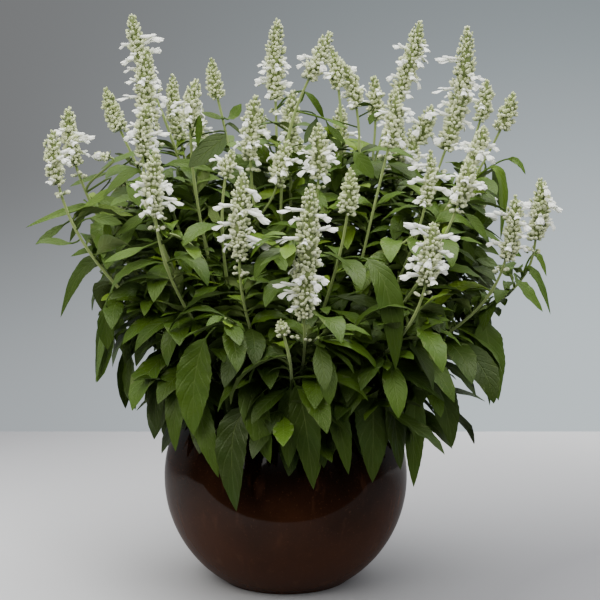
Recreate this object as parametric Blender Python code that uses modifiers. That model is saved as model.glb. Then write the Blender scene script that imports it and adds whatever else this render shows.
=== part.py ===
"""Potted salvia: a white mealycup sage in a dark glazed ball pot.

Metres, +Z up. The origin is the centre of the pot's flat foot. The side that shows best faces -Y.
Every plant stands in a plain hole in the soil. Its square stems, with their leaves, are one solid.
Each flower spike is a solid of its own, just clear of the top of its stem.
"""

import math
from dataclasses import dataclass

import bmesh
import bpy
import numpy as np
from mathutils import Vector
from mathutils.bvhtree import BVHTree

MM = 0.001
SEED = 27
GAP = 0.3 * MM  # clearance between two pieces that touch

# Pot: a ball on a flat foot, open at the top
POT_RADIUS = 123 * MM
POT_CENTRE = 105 * MM  # height of the widest line
POT_WALL = 7.5 * MM
POT_FLOOR = 12 * MM
POT_SIDES = 32
SOIL_SIDES = 16  # half as many, so the soil stays inside the pot's flat stretches
INNER_RINGS = 5
OUTER_RINGS = 9
RIM_HEIGHT = 186 * MM
FOOT_EDGE = 1.5 * MM  # the glaze rounds the foot's edge by this much

# Soil, below the rim
SOIL_EDGE = 168 * MM
SOIL_MIDDLE = 173 * MM
HOLE_BOTTOM = 140 * MM

# Plants: one in the middle and a ring of six
PLANT_RING = 48 * MM
RING_PLANTS = 6
RING_TURN = math.radians(30)
CROWN_RADIUS = 9 * MM
CROWN_SIDES = 8
CROWN_TOP = 186 * MM
STEMS_START = 180 * MM  # height in the crown where the stems begin
STEMS_RING = 6.4 * MM  # the stems stand this far from the crown's middle
STEM_FOOT = 2.1 * MM  # half the diagonal of a square stem where it leaves the crown
STEM_TIP = 1.6 * MM  # the same under its spike
STEM_RISE = 0.26  # share of its span over which a stem leaves the crown, upwards
STEM_ENTRY = 0.36  # share of its span over which a stem runs in line with its spike
STEM_STRAY = (12 * MM, 9 * MM)  # how far its two middle points stray at random
PLANT_SHARE = 0.36  # a crown carries what grows this much farther out: ring radius over bush radius
SHOOT_FOOT = 2.0 * MM
SHOOT_TIP = 1.5 * MM
JOINT_HALF = 1.2 * MM  # half the length of the joint that a leaf grows from

# The eye in front of the plant. Sizes "as seen" are millimetres right of the pot's axis and above its
# widest line, in the plane through the aim point that faces the eye.
EYE_DISTANCE = 2.2
EYE_RISE = math.radians(11)
AIM = np.array([14.5 * MM, 0.0, 286 * MM])
BUSH_AXIS = np.array([14.5 * MM, 0.0])  # the foliage leans a little to the right of the pot

# Leaves
LEAF_THICK = 1.3 * MM
LEAF_FOLD = 0.22  # how far the midrib sinks, as a share of the half width
LEAF_TOOTH = 0.10  # how far the toothed edge swings, as a share of the half width
PETIOLE_HALF = 1.1 * MM
LEAF_CLEAR = 0.7 * MM
LEAF_TRIES = 10
BUSH_REACH = 208 * MM  # no leaf placed by rule ends farther from the bush's axis
GUARD_RINGS = 8
STEM_TRIES = 120

# Flower spikes
BUD_PITCH = 9.5 * MM  # height of one ring of buds
BUDS_AROUND = 4
BUD_OUT = 1.28  # reach of a bud and of the hollow beside it, as shares of the spike's radius
BUD_IN = 0.62
BUD_LIFT = 0.42  # how far a bud points up, as a share of the pitch
SPIKE_RADIUS = 7.8 * MM
FLORET_REACH = 12 * MM
LIP_OUT = 7 * MM
LIP_HALF = 4.8 * MM
LIP_THICK = 1.3 * MM
LIP_RISE = 3 * MM  # the lip's wide part stands this much above the flower's root, its end hangs below it
LIP_DROP = 4 * MM
FLORETS_FROM = 0.12  # shares of the spike's height between which its flowers are open
FLORETS_TO = 0.62
FLORET_TURN = 2.4  # angle from one open flower to the next, in radians
SPIKE_BOW = 0.045  # how far a spike bows outwards, as a share of its length

X, Y, Z = np.eye(3)


@dataclass
class Spike:
    """A flower spike: tip and base as seen, in millimetres, and the depth of both behind the pot's axis."""

    name: str
    tip: tuple
    base: tuple
    depth: float
    florets: int = 3
    width: float = 1.0


@dataclass
class Stem:
    """A stem on a cubic Bezier curve, with the parameters of the joints where its leaves grow."""

    plant: int
    controls: np.ndarray
    joints: tuple
    foot: float
    top: float
    turn: float
    flowering: bool


@dataclass
class Leaf:
    """A leaf at the parameter t of its stem, on a cubic Bezier midrib. Its upper side looks along face."""

    stem: Stem
    t: float
    controls: np.ndarray
    face: np.ndarray
    width: float
    petiole: float
    stations: tuple
    neck: bool


SPIKES = (
    Spike("far_left_low", (-233, 348), (-227, 293), -48),
    Spike("far_left_high", (-217, 371), (-210, 313), -8),
    Spike("left_bud", (-180, 391), (-165, 347), 45, 0, 0.85),
    Spike("left_top", (-154, 464), (-136, 396), 30),
    Spike("left_upper", (-138, 431), (-135, 348), -8, 3, 1.1),
    Spike("left_middle", (-137, 374), (-143, 322), -48, 4),
    Spike("left_lower", (-130, 328), (-130, 260), -86, 4, 1.1),
    Spike("left_inner", (-113, 404), (-105, 338), 38, 1),
    Spike("left_second", (-89, 399), (-95, 350), -20, 2),
    Spike("left_thin", (-74, 420), (-68, 380), 55, 0, 0.75),
    Spike("middle_top", (-8, 460), (-10, 378), 40),
    Spike("middle_left", (-29, 383), (-35, 318), -12, 3),
    Spike("middle", (8, 388), (5, 328), 12, 3),
    Spike("middle_small", (-53, 328), (-60, 300), -55, 2, 0.8),
    Spike("front_left", (-42, 306), (-46, 218), -96, 4, 1.05),
    Spike("middle_leaning", (45, 447), (23, 398), -16, 2),
    Spike("middle_back", (46, 430), (53, 390), 66, 1),
    Spike("middle_right", (58, 415), (71, 370), 18, 1),
    Spike("middle_front", (33, 355), (33, 298), -42, 4),
    Spike("right_of_middle_bud", (65, 310), (62, 265), -74, 0, 0.85),
    Spike("front", (25, 295), (18, 160), -118, 5, 1.25),
    Spike("front_small", (-5, 158), (-2, 143), -134, 0, 0.6),
    Spike("right_inner_back", (88, 403), (90, 358), 74, 1),
    Spike("right_top", (135, 458), (110, 378), 42, 4, 1.1),
    Spike("right_inner", (110, 388), (103, 330), -18, 3),
    Spike("right_tallest", (182, 453), (160, 328), 0, 5, 1.2),
    Spike("right_low_back", (147, 373), (132, 335), 58, 1, 1.1),
    Spike("right_old", (145, 328), (140, 273), -44, 1, 0.8),
    Spike("far_right_top", (201, 399), (195, 358), 52, 1),
    Spike("far_right_bud", (228, 386), (215, 348), 18, 0, 0.85),
    Spike("far_right_middle", (199, 352), (185, 313), -34, 2),
    Spike("right_lower", (185, 318), (173, 273), -76, 3),
    Spike("front_right", (147, 256), (140, 193), -112, 4, 1.15),
    Spike("far_right_low", (255, 300), (250, 238), -12, 4, 1.1),
    Spike("far_right_lower", (230, 283), (220, 218), -50, 3, 1.05),
)

SPIKE_DEPTHS = 1.25  # the bush is this much deeper than the depths above

# The side that faces away, set round the bush by a rule
BACK_SPIKES = 9
BACK_FROM = math.radians(14)
BACK_TO = math.radians(166)
BACK_RADII = (0.176, 0.118)  # every second one stands nearer the middle
BACK_TIPS = (0.425, 0.475)

# Leaves that make the outline: root and tip as seen, their two depths, width, and how high the leaf arches
OUTLINE_LEAVES = (
    ((-180, 265), (-260, 250), -14, -22, 12, 20),
    ((-218, 242), (-250, 233), 2, -4, 11, 8),
    ((-177, 216), (-225, 160), -30, -36, 17, 26),
    ((-135, 188), (-177, 178), -88, -100, 14, 10),
    ((-173, 178), (-189, 95), -18, -26, 18, 12),
    ((-165, 123), (-150, 68), -46, -58, 22, 8),
    ((-135, 108), (-128, 44), -78, -92, 20, 8),
    ((-112, 98), (-110, 26), -98, -110, 21, 8),
    ((-95, 128), (-92, 42), -124, -136, 36, 10),
    ((-92, 78), (-67, 0), -118, -134, 22, 10),
    ((-66, 78), (-49, -33), -128, -146, 32, 12),
    ((-42, 93), (-15, 16), -134, -146, 27, 12),
    ((4, 78), (3, 10), -128, -138, 24, 8),
    ((17, 78), (28, -12), -138, -150, 28, 10),
    ((50, 83), (63, 3), -130, -142, 22, 10),
    ((87, 83), (87, -5), -116, -130, 38, 10),
    ((106, 78), (115, 8), -106, -122, 24, 8),
    ((124, 80), (128, -9), -88, -104, 22, 10),
    ((155, 98), (167, 31), -66, -80, 30, 8),
    ((195, 148), (213, 77), -44, -54, 34, 12),
    ((185, 188), (202, 78), -6, -14, 22, 12),
    ((235, 206), (265, 163), -18, -24, 13, 18),
    ((243, 233), (261, 201), -4, -10, 10, 10),
    ((193, 203), (243, 166), -54, -66, 20, 14),
    ((218, 323), (215, 238), 16, 12, 17, 14),
    ((105, 228), (110, 108), -122, -134, 26, 10),
    ((225, 328), (240, 303), 26, 22, 9, 6),
)

# Shoots without flowers, in tiers from the rim upwards: count, first angle, reach and height of the tip
SHOOT_TIERS = (
    (9, math.radians(20), 0.130, 0.214),
    (9, math.radians(0), 0.158, 0.285),
    (6, math.radians(30), 0.150, 0.365),
)
SHOOT_JOINTS = (0.55, 0.78, 0.97)
STEM_JOINTS = (0.60, 0.83)

# Leaf length by the height where the leaf grows
LEAF_HEIGHTS = (0.20, 0.28, 0.38, 0.46, 0.52)
LEAF_LENGTHS = (0.094, 0.086, 0.068, 0.046, 0.030)
LEAF_SLIMNESS = 0.34

# By the same height: how steeply the leaf leaves its stem, and the slope of its outer part in radians
LEAF_RISE = ((0.20, 0.45), (0.30, 0.70))
LEAF_DROOP = ((0.20, 0.34, 0.48), (-1.38, -1.15, -0.60))
LEAF_STEPS = (0.34, 0.34, 0.36)  # shares of a leaf's length between the points of its midrib's curve
LEAF_PETIOLE = 0.14
LEAF_BEND = -0.15  # slope of the midrib's middle, in radians
LARGE_LEAF = 86 * MM  # from this length on, a leaf has one more ring

LARGE_STATIONS = (0.17, 0.38, 0.60, 0.81)
MIDDLE_STATIONS = (0.24, 0.52, 0.79)
SMALL_STATIONS = (0.30, 0.68)


def unit(vector):
    """The vector at length one."""
    return vector / np.linalg.norm(vector)


def bezier(controls, t):
    """Points of the cubic Bezier curve at the parameters t, one row each."""
    t = np.asarray(t, float).reshape(-1, 1)
    a, b, c, d = controls
    return (1 - t) ** 3 * a + 3 * (1 - t) ** 2 * t * b + 3 * (1 - t) * t**2 * c + t**3 * d


def bezier_slope(controls, t):
    """Unit tangents of the cubic Bezier curve at the parameters t, one row each."""
    t = np.asarray(t, float).reshape(-1, 1)
    a, b, c, d = controls
    slope = (1 - t) ** 2 * (b - a) + 2 * (1 - t) * t * (c - b) + t**2 * (d - c)
    return slope / np.linalg.norm(slope, axis=1, keepdims=True)


def seen(across, up, depth):
    """The point at this depth behind the pot's axis that the eye sees this far across and up. Millimetres."""
    forward = np.array([0.0, math.cos(EYE_RISE), -math.sin(EYE_RISE)])
    upward = np.array([0.0, math.sin(EYE_RISE), math.cos(EYE_RISE)])
    eye = AIM - forward * EYE_DISTANCE
    aim_up = (AIM[2] - POT_CENTRE) * math.cos(EYE_RISE)
    on_plane = AIM + (across * MM - AIM[0]) * X + (up * MM - aim_up) * upward
    ray = on_plane - eye
    return eye + ray * (depth * MM - eye[1]) / ray[1]


def material(name, colour, roughness, coat=0.0):
    """A Principled material of one linear colour."""
    made = bpy.data.materials.new(name)
    made.use_nodes = True
    shader = made.node_tree.nodes["Principled BSDF"]
    shader.inputs["Base Color"].default_value = (*colour, 1.0)
    shader.inputs["Roughness"].default_value = roughness
    shader.inputs["Metallic"].default_value = 0.0
    shader.inputs["Coat Weight"].default_value = coat
    made.diffuse_color = (*colour, 1.0)
    return made


def new_object(name, mesh, collection, finish=None):
    """An object with this mesh, in this collection."""
    made = bpy.data.objects.new(name, mesh)
    collection.objects.link(made)
    if finish:
        made.data.materials.append(finish)
    return made


def turned(name, profile, sides, collection, finish):
    """A turned solid. The profile starts on the axis, runs down the outer side, and ends on the axis."""
    mesh = bpy.data.meshes.new(name)
    edges = [(i, i + 1) for i in range(len(profile) - 1)]
    mesh.from_pydata([(r, 0.0, z) for r, z in profile], edges, [])
    made = new_object(name, mesh, collection, finish)
    screw = made.modifiers.new("turn", "SCREW")
    screw.steps = screw.render_steps = sides
    screw.use_merge_vertices = True
    screw.merge_threshold = 0.0001
    screw.use_smooth_shade = True
    return made


def ball_arc(radius, low, high, steps):
    """Profile points on the ball of this radius, from the height low to the height high."""
    start, end = (math.asin((height - POT_CENTRE) / radius) for height in (low, high))
    angles = np.linspace(start, end, steps)
    return [(radius * math.cos(a), POT_CENTRE + radius * math.sin(a)) for a in angles]


def make_pot(collection):
    """The ball pot: inner wall, rounded rim, outer wall and flat foot in one profile."""
    lip = POT_WALL / 2
    shoulder = RIM_HEIGHT - lip
    inner = ball_arc(POT_RADIUS - POT_WALL, POT_FLOOR, shoulder, INNER_RINGS)
    outer = ball_arc(POT_RADIUS, shoulder, FOOT_EDGE, OUTER_RINGS)
    middle = (inner[-1][0] + outer[0][0]) / 2
    half = (outer[0][0] - inner[-1][0]) / 2
    rim = [(middle - half * math.cos(a), shoulder + lip * math.sin(a)) for a in np.radians((45, 90, 135))]
    foot = [(outer[-1][0] - FOOT_EDGE, 0.0), (0.0, 0.0)]
    finish = material("glazed stoneware", (0.035, 0.012, 0.007), 0.12, 1.0)
    return turned("pot", [(0.0, POT_FLOOR)] + inner + rim + outer + foot, POT_SIDES, collection, finish)


def crown_places():
    """The foot points of the plants in the soil."""
    angles = RING_TURN + np.arange(RING_PLANTS) * 2 * math.pi / RING_PLANTS
    ring = [(PLANT_RING * math.cos(a), PLANT_RING * math.sin(a)) for a in angles]
    return [(0.0, 0.0)] + ring


def upright_cone(name, place, low, high, radii, collection):
    """A cone or cylinder on the vertical through this place, its sides as many as a crown has."""
    shape = bmesh.new()
    bmesh.ops.create_cone(
        shape, cap_ends=True, segments=CROWN_SIDES, radius1=radii[0], radius2=radii[1], depth=high - low
    )
    bmesh.ops.translate(shape, verts=shape.verts, vec=(*place, (low + high) / 2))
    mesh = bpy.data.meshes.new(name)
    shape.to_mesh(mesh)
    shape.free()
    return new_object(name, mesh, collection)


def make_soil(collection, cutters):
    """The potting soil, clear of the pot by the gap, with a plain hole for each crown."""
    wall = ball_arc(POT_RADIUS - POT_WALL, POT_FLOOR, RIM_HEIGHT - POT_WALL / 2, INNER_RINGS)
    below = [(r - GAP, z) for r, z in wall[::-1] if POT_FLOOR < z < SOIL_EDGE]
    wall_there = np.interp(SOIL_EDGE, [z for _, z in wall], [r for r, _ in wall])
    edge = (wall_there - GAP / math.cos(math.radians(45)), SOIL_EDGE)
    top = [(0.0, SOIL_MIDDLE), (0.6 * edge[0], (SOIL_MIDDLE + SOIL_EDGE) / 2 + MM)]
    bottom = [(wall[0][0] - GAP, POT_FLOOR + GAP), (0.0, POT_FLOOR + GAP)]
    finish = material("peat soil", (0.022, 0.014, 0.009), 0.95)
    soil = turned("soil", top + [edge] + below + bottom, SOIL_SIDES, collection, finish)
    for i, place in enumerate(crown_places()):
        radius = CROWN_RADIUS + GAP
        hole = upright_cone(f"hole_{i}", place, HOLE_BOTTOM, SOIL_MIDDLE + 10 * MM, (radius, radius), cutters)
        hole.hide_render = True
        hole.display_type = "WIRE"
    cut = soil.modifiers.new("crown holes", "BOOLEAN")
    cut.operation = "DIFFERENCE"
    cut.operand_type = "COLLECTION"
    cut.collection = cutters
    return soil


def rings_to_faces(count, around, tip):
    """Triangles of a tube of rings, alike on every side, with a fan on the first ring and one at the tip."""
    faces = []
    for i in range(count - 1):
        for j in range(around):
            a, b = i * around + j, i * around + (j + 1) % around
            c, d = a + around, b + around
            faces += [(a, b, d), (a, d, c)] if j % 2 else [(a, b, c), (b, d, c)]
    faces += [(0, j + 1, j) for j in range(1, around - 1)]
    last = (count - 1) * around
    return faces + [(last + j, last + (j + 1) % around, tip) for j in range(around)]


def blade_width(x):
    """Half width of a salvia blade at the share x of its length, as a share of its widest."""
    return np.sin(math.pi * np.clip(x, 0, 1) ** 0.82) ** 0.85


def leaf_rings(leaf, grow=0.0):
    """The rings of a blade and its tip. A ring is left edge, upper midrib, right edge and lower midrib.

    The edges swing in and out in turn, out of step left and right, which makes the shallow teeth.
    """
    x = np.array(leaf.stations)
    t = leaf.petiole + (1 - leaf.petiole) * x
    swing = LEAF_TOOTH * (-1.0) ** np.arange(len(x))
    half = leaf.width / 2 * blade_width(x)
    left = half * (1 + swing) + grow
    right = half * (1 - swing) + grow
    sink = half * LEAF_FOLD
    thick = np.full(len(x), LEAF_THICK / 2 + grow)
    if leaf.neck:
        t = np.append(leaf.petiole, t)
        left, right, thick = (np.append(PETIOLE_HALF + grow, row) for row in (left, right, thick))
        sink = np.append(0.0, sink)
    middle = bezier(leaf.controls, t)
    slope = bezier_slope(leaf.controls, t)
    normal = leaf.face - (slope @ leaf.face)[:, None] * slope
    normal /= np.linalg.norm(normal, axis=1, keepdims=True)
    side = np.cross(normal, slope)
    rows = (
        middle + side * left[:, None],
        middle + normal * (thick - sink)[:, None],
        middle - side * right[:, None],
        middle - normal * (thick + sink)[:, None],
    )
    return np.stack(rows, axis=1), bezier(leaf.controls, 1.0)[0]


def leaf_guard(leaf, whole):
    """Points and faces of a leaf a little larger than life, whole or blade only, to test what it meets."""
    rings, tip = leaf_rings(leaf, LEAF_CLEAR)
    if whole:
        start = bezier(leaf.controls, 0.0)[0]
        around = PETIOLE_HALF * np.array([Y, Z, -Y, -Z])
        rings = np.vstack([(start + around)[None], rings])
    points = np.vstack([rings.reshape(-1, 3), tip])
    return points, rings_to_faces(len(rings), 4, len(points) - 1)


def tube_mesh(points, radii):
    """Points and faces of a square tube, used to test what a stem would meet."""
    slopes = np.gradient(points, axis=0)
    slopes /= np.linalg.norm(slopes, axis=1, keepdims=True)
    first = np.cross(slopes, Y + 0.01 * X)
    first /= np.linalg.norm(first, axis=1, keepdims=True)
    second = np.cross(slopes, first)
    rows = [points + radii[:, None] * way for way in (first, second, -first, -second)]
    rings = np.stack(rows, axis=1).reshape(-1, 3)
    end = points[-1] + slopes[-1] * radii[-1] * 0.1
    return np.vstack([rings, end]), rings_to_faces(len(points), 4, len(rings))


class Space:
    """What has been placed so far, to keep one piece clear of another."""

    def __init__(self):
        self.placed = []

    def add(self, owner, points, faces):
        """Keeps this mesh as part of the piece owner."""
        tree = BVHTree.FromPolygons([Vector(p) for p in points], [tuple(map(int, f)) for f in faces])
        self.placed.append((owner, tree, points.min(axis=0), points.max(axis=0)))

    def meets(self, points, faces, leave_out=()):
        """Whether this mesh meets anything that doesn't belong to a piece in leave_out."""
        low, high = points.min(axis=0), points.max(axis=0)
        near = [
            tree
            for owner, tree, lowest, highest in self.placed
            if owner not in leave_out and (lowest < high).all() and (low < highest).all()
        ]
        if not near:
            return False
        tree = BVHTree.FromPolygons([Vector(p) for p in points], [tuple(map(int, f)) for f in faces])
        return any(tree.overlap(other) for other in near)


def petioles_of(plant):
    """Owner of a plant's whole leaves, which other plants keep clear of and the plant itself doesn't."""
    return f"petioles_{plant}"


def crown_guard(place):
    """Points and faces of a square tube round the part of a crown above the soil."""
    ends = np.array([[*place, SOIL_EDGE], [*place, CROWN_TOP + MM]])
    return tube_mesh(ends, np.full(2, CROWN_RADIUS * math.sqrt(2)))


def pot_guard():
    """Points and faces of the pot's outer wall and rim, a little large, to keep leaves and stems off it."""
    profile = ball_arc(POT_RADIUS + MM, FOOT_EDGE, RIM_HEIGHT - POT_WALL / 2, 10)
    profile += [(profile[-1][0] - POT_WALL / 2, RIM_HEIGHT + MM), (profile[-1][0] - POT_WALL - MM, SOIL_EDGE)]
    profile += [(0.0, SOIL_MIDDLE)]
    angles = np.arange(POT_SIDES) * 2 * math.pi / POT_SIDES
    rings = [np.stack([r * np.cos(angles), r * np.sin(angles), np.full(POT_SIDES, z)], 1) for r, z in profile]
    points = np.vstack(rings)
    faces = []
    for i in range(len(profile) - 1):
        for j in range(POT_SIDES):
            a, b = i * POT_SIDES + j, i * POT_SIDES + (j + 1) % POT_SIDES
            faces.append((a, b, b + POT_SIDES, a + POT_SIDES))
    return points, faces


def all_spikes():
    """Name, base, tip, floret count and width of every spike: those seen, then those behind by the rule."""
    rows = []
    for spike in SPIKES:
        base, tip = (seen(*place, spike.depth * SPIKE_DEPTHS) for place in (spike.base, spike.tip))
        rows.append((spike.name, base, tip, spike.florets, spike.width))
    draw = np.random.default_rng(SEED)
    for k, angle in enumerate(np.linspace(BACK_FROM, BACK_TO, BACK_SPIKES)):
        way = np.array([math.cos(angle), math.sin(angle), 0.0])
        tip = np.append(BUSH_AXIS, 0.0) + way * (BACK_RADII[k % 2] + draw.uniform(0, 0.014))
        tip[2] = BACK_TIPS[k % 2] + draw.uniform(-0.025, 0.02)
        length = draw.uniform(0.055, 0.080)
        lean = unit(Z + 0.14 * way + 0.06 * draw.normal(size=3))
        rows.append((f"behind_{k + 1}", tip - lean * length, tip, 3, 1.0))
    return rows


def spike_axis(base, tip, t):
    """Points along a spike, which bows a little away from the bush's middle."""
    way = unit(np.append(base[:2] - BUSH_AXIS, 0.0) + 0.001 * X)
    length = np.linalg.norm(tip - base)
    t = np.asarray(t, float).reshape(-1, 1)
    return base + (tip - base) * t + way * SPIKE_BOW * length * 4 * t * (1 - t)


def spike_girth(s):
    """Radius of a spike at the share s of its height, as a share of its widest."""
    return np.clip(s, 0.01, 1) ** 0.16 * (1 - np.clip(s, 0, 1) ** 3.2) ** 0.8


def bud_guard(base, tip, width):
    """Points and faces of a plain column round a spike's buds."""
    s = np.linspace(0, 1, GUARD_RINGS)
    axis = spike_axis(base + unit(tip - base) * GAP, tip, s)
    reach = SPIKE_RADIUS * width * BUD_OUT * spike_girth(s)
    reach[0] = reach[1] * 0.5
    return tube_mesh(axis, reach * math.sqrt(2))


def draw_out(shape, face, rings, tip):
    """Draws a side of a stem out through a leaf's rings to its tip, split alike on both sides."""
    before = list(face.verts)
    places = np.array([corner.co for corner in before])
    turns = [np.linalg.norm(np.roll(rings[0], -k, axis=0) - places, axis=1).sum() for k in range(4)]
    first = int(np.argmin(turns))
    shape.faces.remove(face)
    for ring in np.roll(rings, -first, axis=1):
        now = [shape.verts.new(place) for place in ring]
        for j in range(4):
            a, b, c, d = before[j], before[(j + 1) % 4], now[j], now[(j + 1) % 4]
            split = ((a, b, c), (b, d, c)) if (j + first) % 2 else ((a, b, d), (a, d, c))
            for corners in split:
                shape.faces.new(corners)
        before = now
    end = shape.verts.new(tip)
    for j in range(4):
        shape.faces.new((before[j], before[(j + 1) % 4], end))


def bud_column(name, base, tip, width, florets, collection):
    """A flower spike: a sphere's rings drawn out along its axis, with every second point raised as a bud.

    The open flowers are drawn out of the column between the buds.
    """
    length = np.linalg.norm(tip - base)
    rings = max(3, round(length / BUD_PITCH))
    shape = bmesh.new()
    bmesh.ops.create_uvsphere(shape, u_segments=2 * BUDS_AROUND, v_segments=rings + 1, radius=1.0)
    along = unit(tip - base)
    start = base + along * GAP
    east = unit(np.cross(along, Y))
    north = np.cross(along, east)
    for vertex in shape.verts:
        down = math.acos(max(-1.0, min(1.0, vertex.co.z)))
        ring = round((math.pi - down) / math.pi * (rings + 1))
        if ring > rings:
            vertex.co = Vector(tip)
            continue
        if ring == 0:
            vertex.co = Vector(start)
            continue
        spoke = round(math.atan2(vertex.co.y, vertex.co.x) / math.pi * BUDS_AROUND)
        s = (ring - 0.45) / (rings + 0.1)
        bud = (ring + spoke) % 2 == 0
        reach = SPIKE_RADIUS * width * spike_girth(s) * (BUD_OUT if bud else BUD_IN)
        lift = min(BUD_PITCH * BUD_LIFT, (1 - s) * length * 0.5) * bud
        angle = spoke * math.pi / BUDS_AROUND
        way = math.cos(angle) * east + math.sin(angle) * north
        vertex.co = Vector(spike_axis(start, tip, s)[0] + reach * way + lift * along)
    shape.normal_update()
    for k in range(florets):
        root, way, ring, end = floret_rings(base, tip, width, k, florets)
        spot = Vector(root + way * SPIKE_RADIUS * width)
        free = [side for side in shape.faces if len(side.verts) == 4]
        draw_out(shape, min(free, key=lambda side: (side.calc_center_median() - spot).length), ring, end)
    mesh = bpy.data.meshes.new(name)
    shape.to_mesh(mesh)
    shape.free()
    return new_object(name, mesh, collection)


def floret_rings(base, tip, width, k, count):
    """An open flower: its root on the spike's axis, the ring of its wide lip, and the lip's low end."""
    s = FLORETS_FROM + (FLORETS_TO - FLORETS_FROM) * (k + 0.5) / count
    angle = FLORET_TURN * k + 40 * (base[0] + base[1])
    along = unit(tip - base)
    east = unit(np.cross(along, Y))
    north = np.cross(along, east)
    way = math.cos(angle) * east + math.sin(angle) * north
    side = np.cross(along, way)
    root = spike_axis(base, tip, s)[0]
    reach = SPIKE_RADIUS * width * spike_girth(s)
    lip = root + way * (reach + LIP_OUT) + along * LIP_RISE
    end = root + way * (reach + FLORET_REACH) - along * LIP_DROP
    ring = [lip + side * LIP_HALF, lip + along * LIP_THICK, lip - side * LIP_HALF, lip - along * LIP_THICK]
    return root, way, np.array([ring]), end


def floret_guard(base, tip, width, k, count):
    """Points and faces of an open flower from the spike's axis to its lip."""
    root, _, ring, end = floret_rings(base, tip, width, k, count)
    faces = [((j + 1) % 4, j, 4) for j in range(4)] + [(j, (j + 1) % 4, 5) for j in range(4)]
    return np.array([*ring[0], root, end]), faces


def stem_controls(foot, base, way, draw, loose):
    """Bezier points of a stem that leaves its crown upwards and outwards and ends under its spike."""
    span = np.linalg.norm(base - foot)
    outward = base - foot
    outward[2] = 0.0
    first = foot + (Z * span + outward) * STEM_RISE + draw.normal(size=3) * (STEM_STRAY[0] * loose)
    second = base - way * span * STEM_ENTRY + draw.normal(size=3) * (STEM_STRAY[1] * loose)
    return np.array([foot, first, second, base])


def nearest_plant(place):
    """The plant whose crown best carries a stem to this place."""
    aim = (place[:2] - BUSH_AXIS) * PLANT_SHARE
    return min(range(RING_PLANTS + 1), key=lambda i: np.linalg.norm(aim - crown_places()[i]))


def stem_points(stem, leafy=()):
    """The points of a stem's square tube: foot, joints and top. A joint with a leaf is a short stretch."""
    t = [0.0]
    for joint in stem.joints:
        step = JOINT_HALF / np.linalg.norm(stem.controls[3] - stem.controls[0])
        t += [joint - step, joint + step] if joint in leafy else [joint]
    return bezier(stem.controls, (*t, 1.0))


def stem_wishes(spikes, draw):
    """Plant, end, direction at the end and whether it flowers, for every stem and shoot, plant by plant."""
    wishes = []
    for _, base, tip, _, _ in spikes:
        wishes.append([nearest_plant(base), base, unit(spike_axis(base, tip, 0.2)[0] - base), True])
    for count, first, reach, height in SHOOT_TIERS:
        for k in range(count):
            angle = first + k * 2 * math.pi / count + draw.uniform(-0.08, 0.08)
            out = np.array([math.cos(angle), math.sin(angle), 0.0])
            end = np.append(BUSH_AXIS, height + draw.uniform(-0.012, 0.012)) + out * reach
            wishes.append([nearest_plant(end), end, unit(out + 0.25 * Z), False])
    return wishes


def crown_feet(plant, ends):
    """Where stems to these ends start in a crown: on a ring, in the order in which they leave it."""
    place = np.array([*crown_places()[plant], STEMS_START])
    ways = np.array([end[:2] - place[:2] for end in ends])
    middle = math.atan2(*ways.sum(axis=0)[::-1])
    lean = (np.arctan2(ways[:, 1], ways[:, 0]) - middle + math.pi) % (2 * math.pi)
    order = np.argsort(np.argsort(lean))
    angles = middle + (order - (len(ends) - 1) / 2) * 2 * math.pi / len(ends)
    return [place + STEMS_RING * (math.cos(a) * X + math.sin(a) * Y) for a in angles]


def place_stem(space, plant, foot, end, way, flowering, draw):
    """A stem to this end that meets nothing, or at least nothing of another plant. Each try bends it more."""
    joints = STEM_JOINTS if flowering else SHOOT_JOINTS
    sizes = (STEM_FOOT, STEM_TIP) if flowering else (SHOOT_FOOT, SHOOT_TIP)
    turn = draw.uniform(0, math.pi)
    for attempt in range(STEM_TRIES):
        controls = stem_controls(foot, end, way, draw, 0.2 + 2.5 * attempt / STEM_TRIES)
        spread = tuple(j + draw.uniform(-0.04, 0.04) * (j < 0.9) for j in joints)
        stem = Stem(plant, controls, spread, *sizes, turn, flowering)
        points = stem_points(stem)
        radii = np.linspace(stem.foot, stem.top, len(points)) + LEAF_CLEAR
        guard = tube_mesh(points, radii)
        upper = tube_mesh(np.vstack([bezier(controls, 0.15), points[1:]]), radii)
        if space.meets(*guard, leave_out=(plant,)):
            continue
        if attempt < STEM_TRIES / 2 and space.meets(*upper):
            continue
        space.add(plant, *guard)
        return stem
    return None


def place_stems(space, spikes):
    """A stem under every spike, and the tiers of shoots that fill the bush to its edge."""
    draw = np.random.default_rng(SEED + 1)
    wishes = stem_wishes(spikes, draw)
    feet = {}
    for plant in range(RING_PLANTS + 1):
        own = [i for i, wish in enumerate(wishes) if wish[0] == plant]
        feet.update(zip(own, crown_feet(plant, [wishes[i][1] for i in own])))
    stems = []
    for i, (plant, end, way, flowering) in enumerate(wishes):
        stem = place_stem(space, plant, feet[i], end, way, flowering, draw)
        if stem is not None:
            stems.append(stem)
        elif flowering:
            print("no clear way for the stem of", spikes[i][0])
    return stems


def place_leaf(space, make, tries, reach=BUSH_REACH):
    """The first of a leaf's tries that meets nothing and stays within reach, or None."""
    for attempt in range(tries):
        leaf = make(attempt)
        if np.linalg.norm(leaf.controls[3][:2] - BUSH_AXIS) > reach:
            continue
        plant = leaf.stem.plant
        whole = leaf_guard(leaf, True)
        if space.meets(*whole, leave_out=(plant, petioles_of(plant))):
            continue
        blade = leaf_guard(leaf, False)
        if space.meets(*blade, leave_out=(petioles_of(plant),)):
            continue
        space.add(plant, *blade)
        space.add(petioles_of(plant), *whole)
        return leaf
    return None


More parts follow.
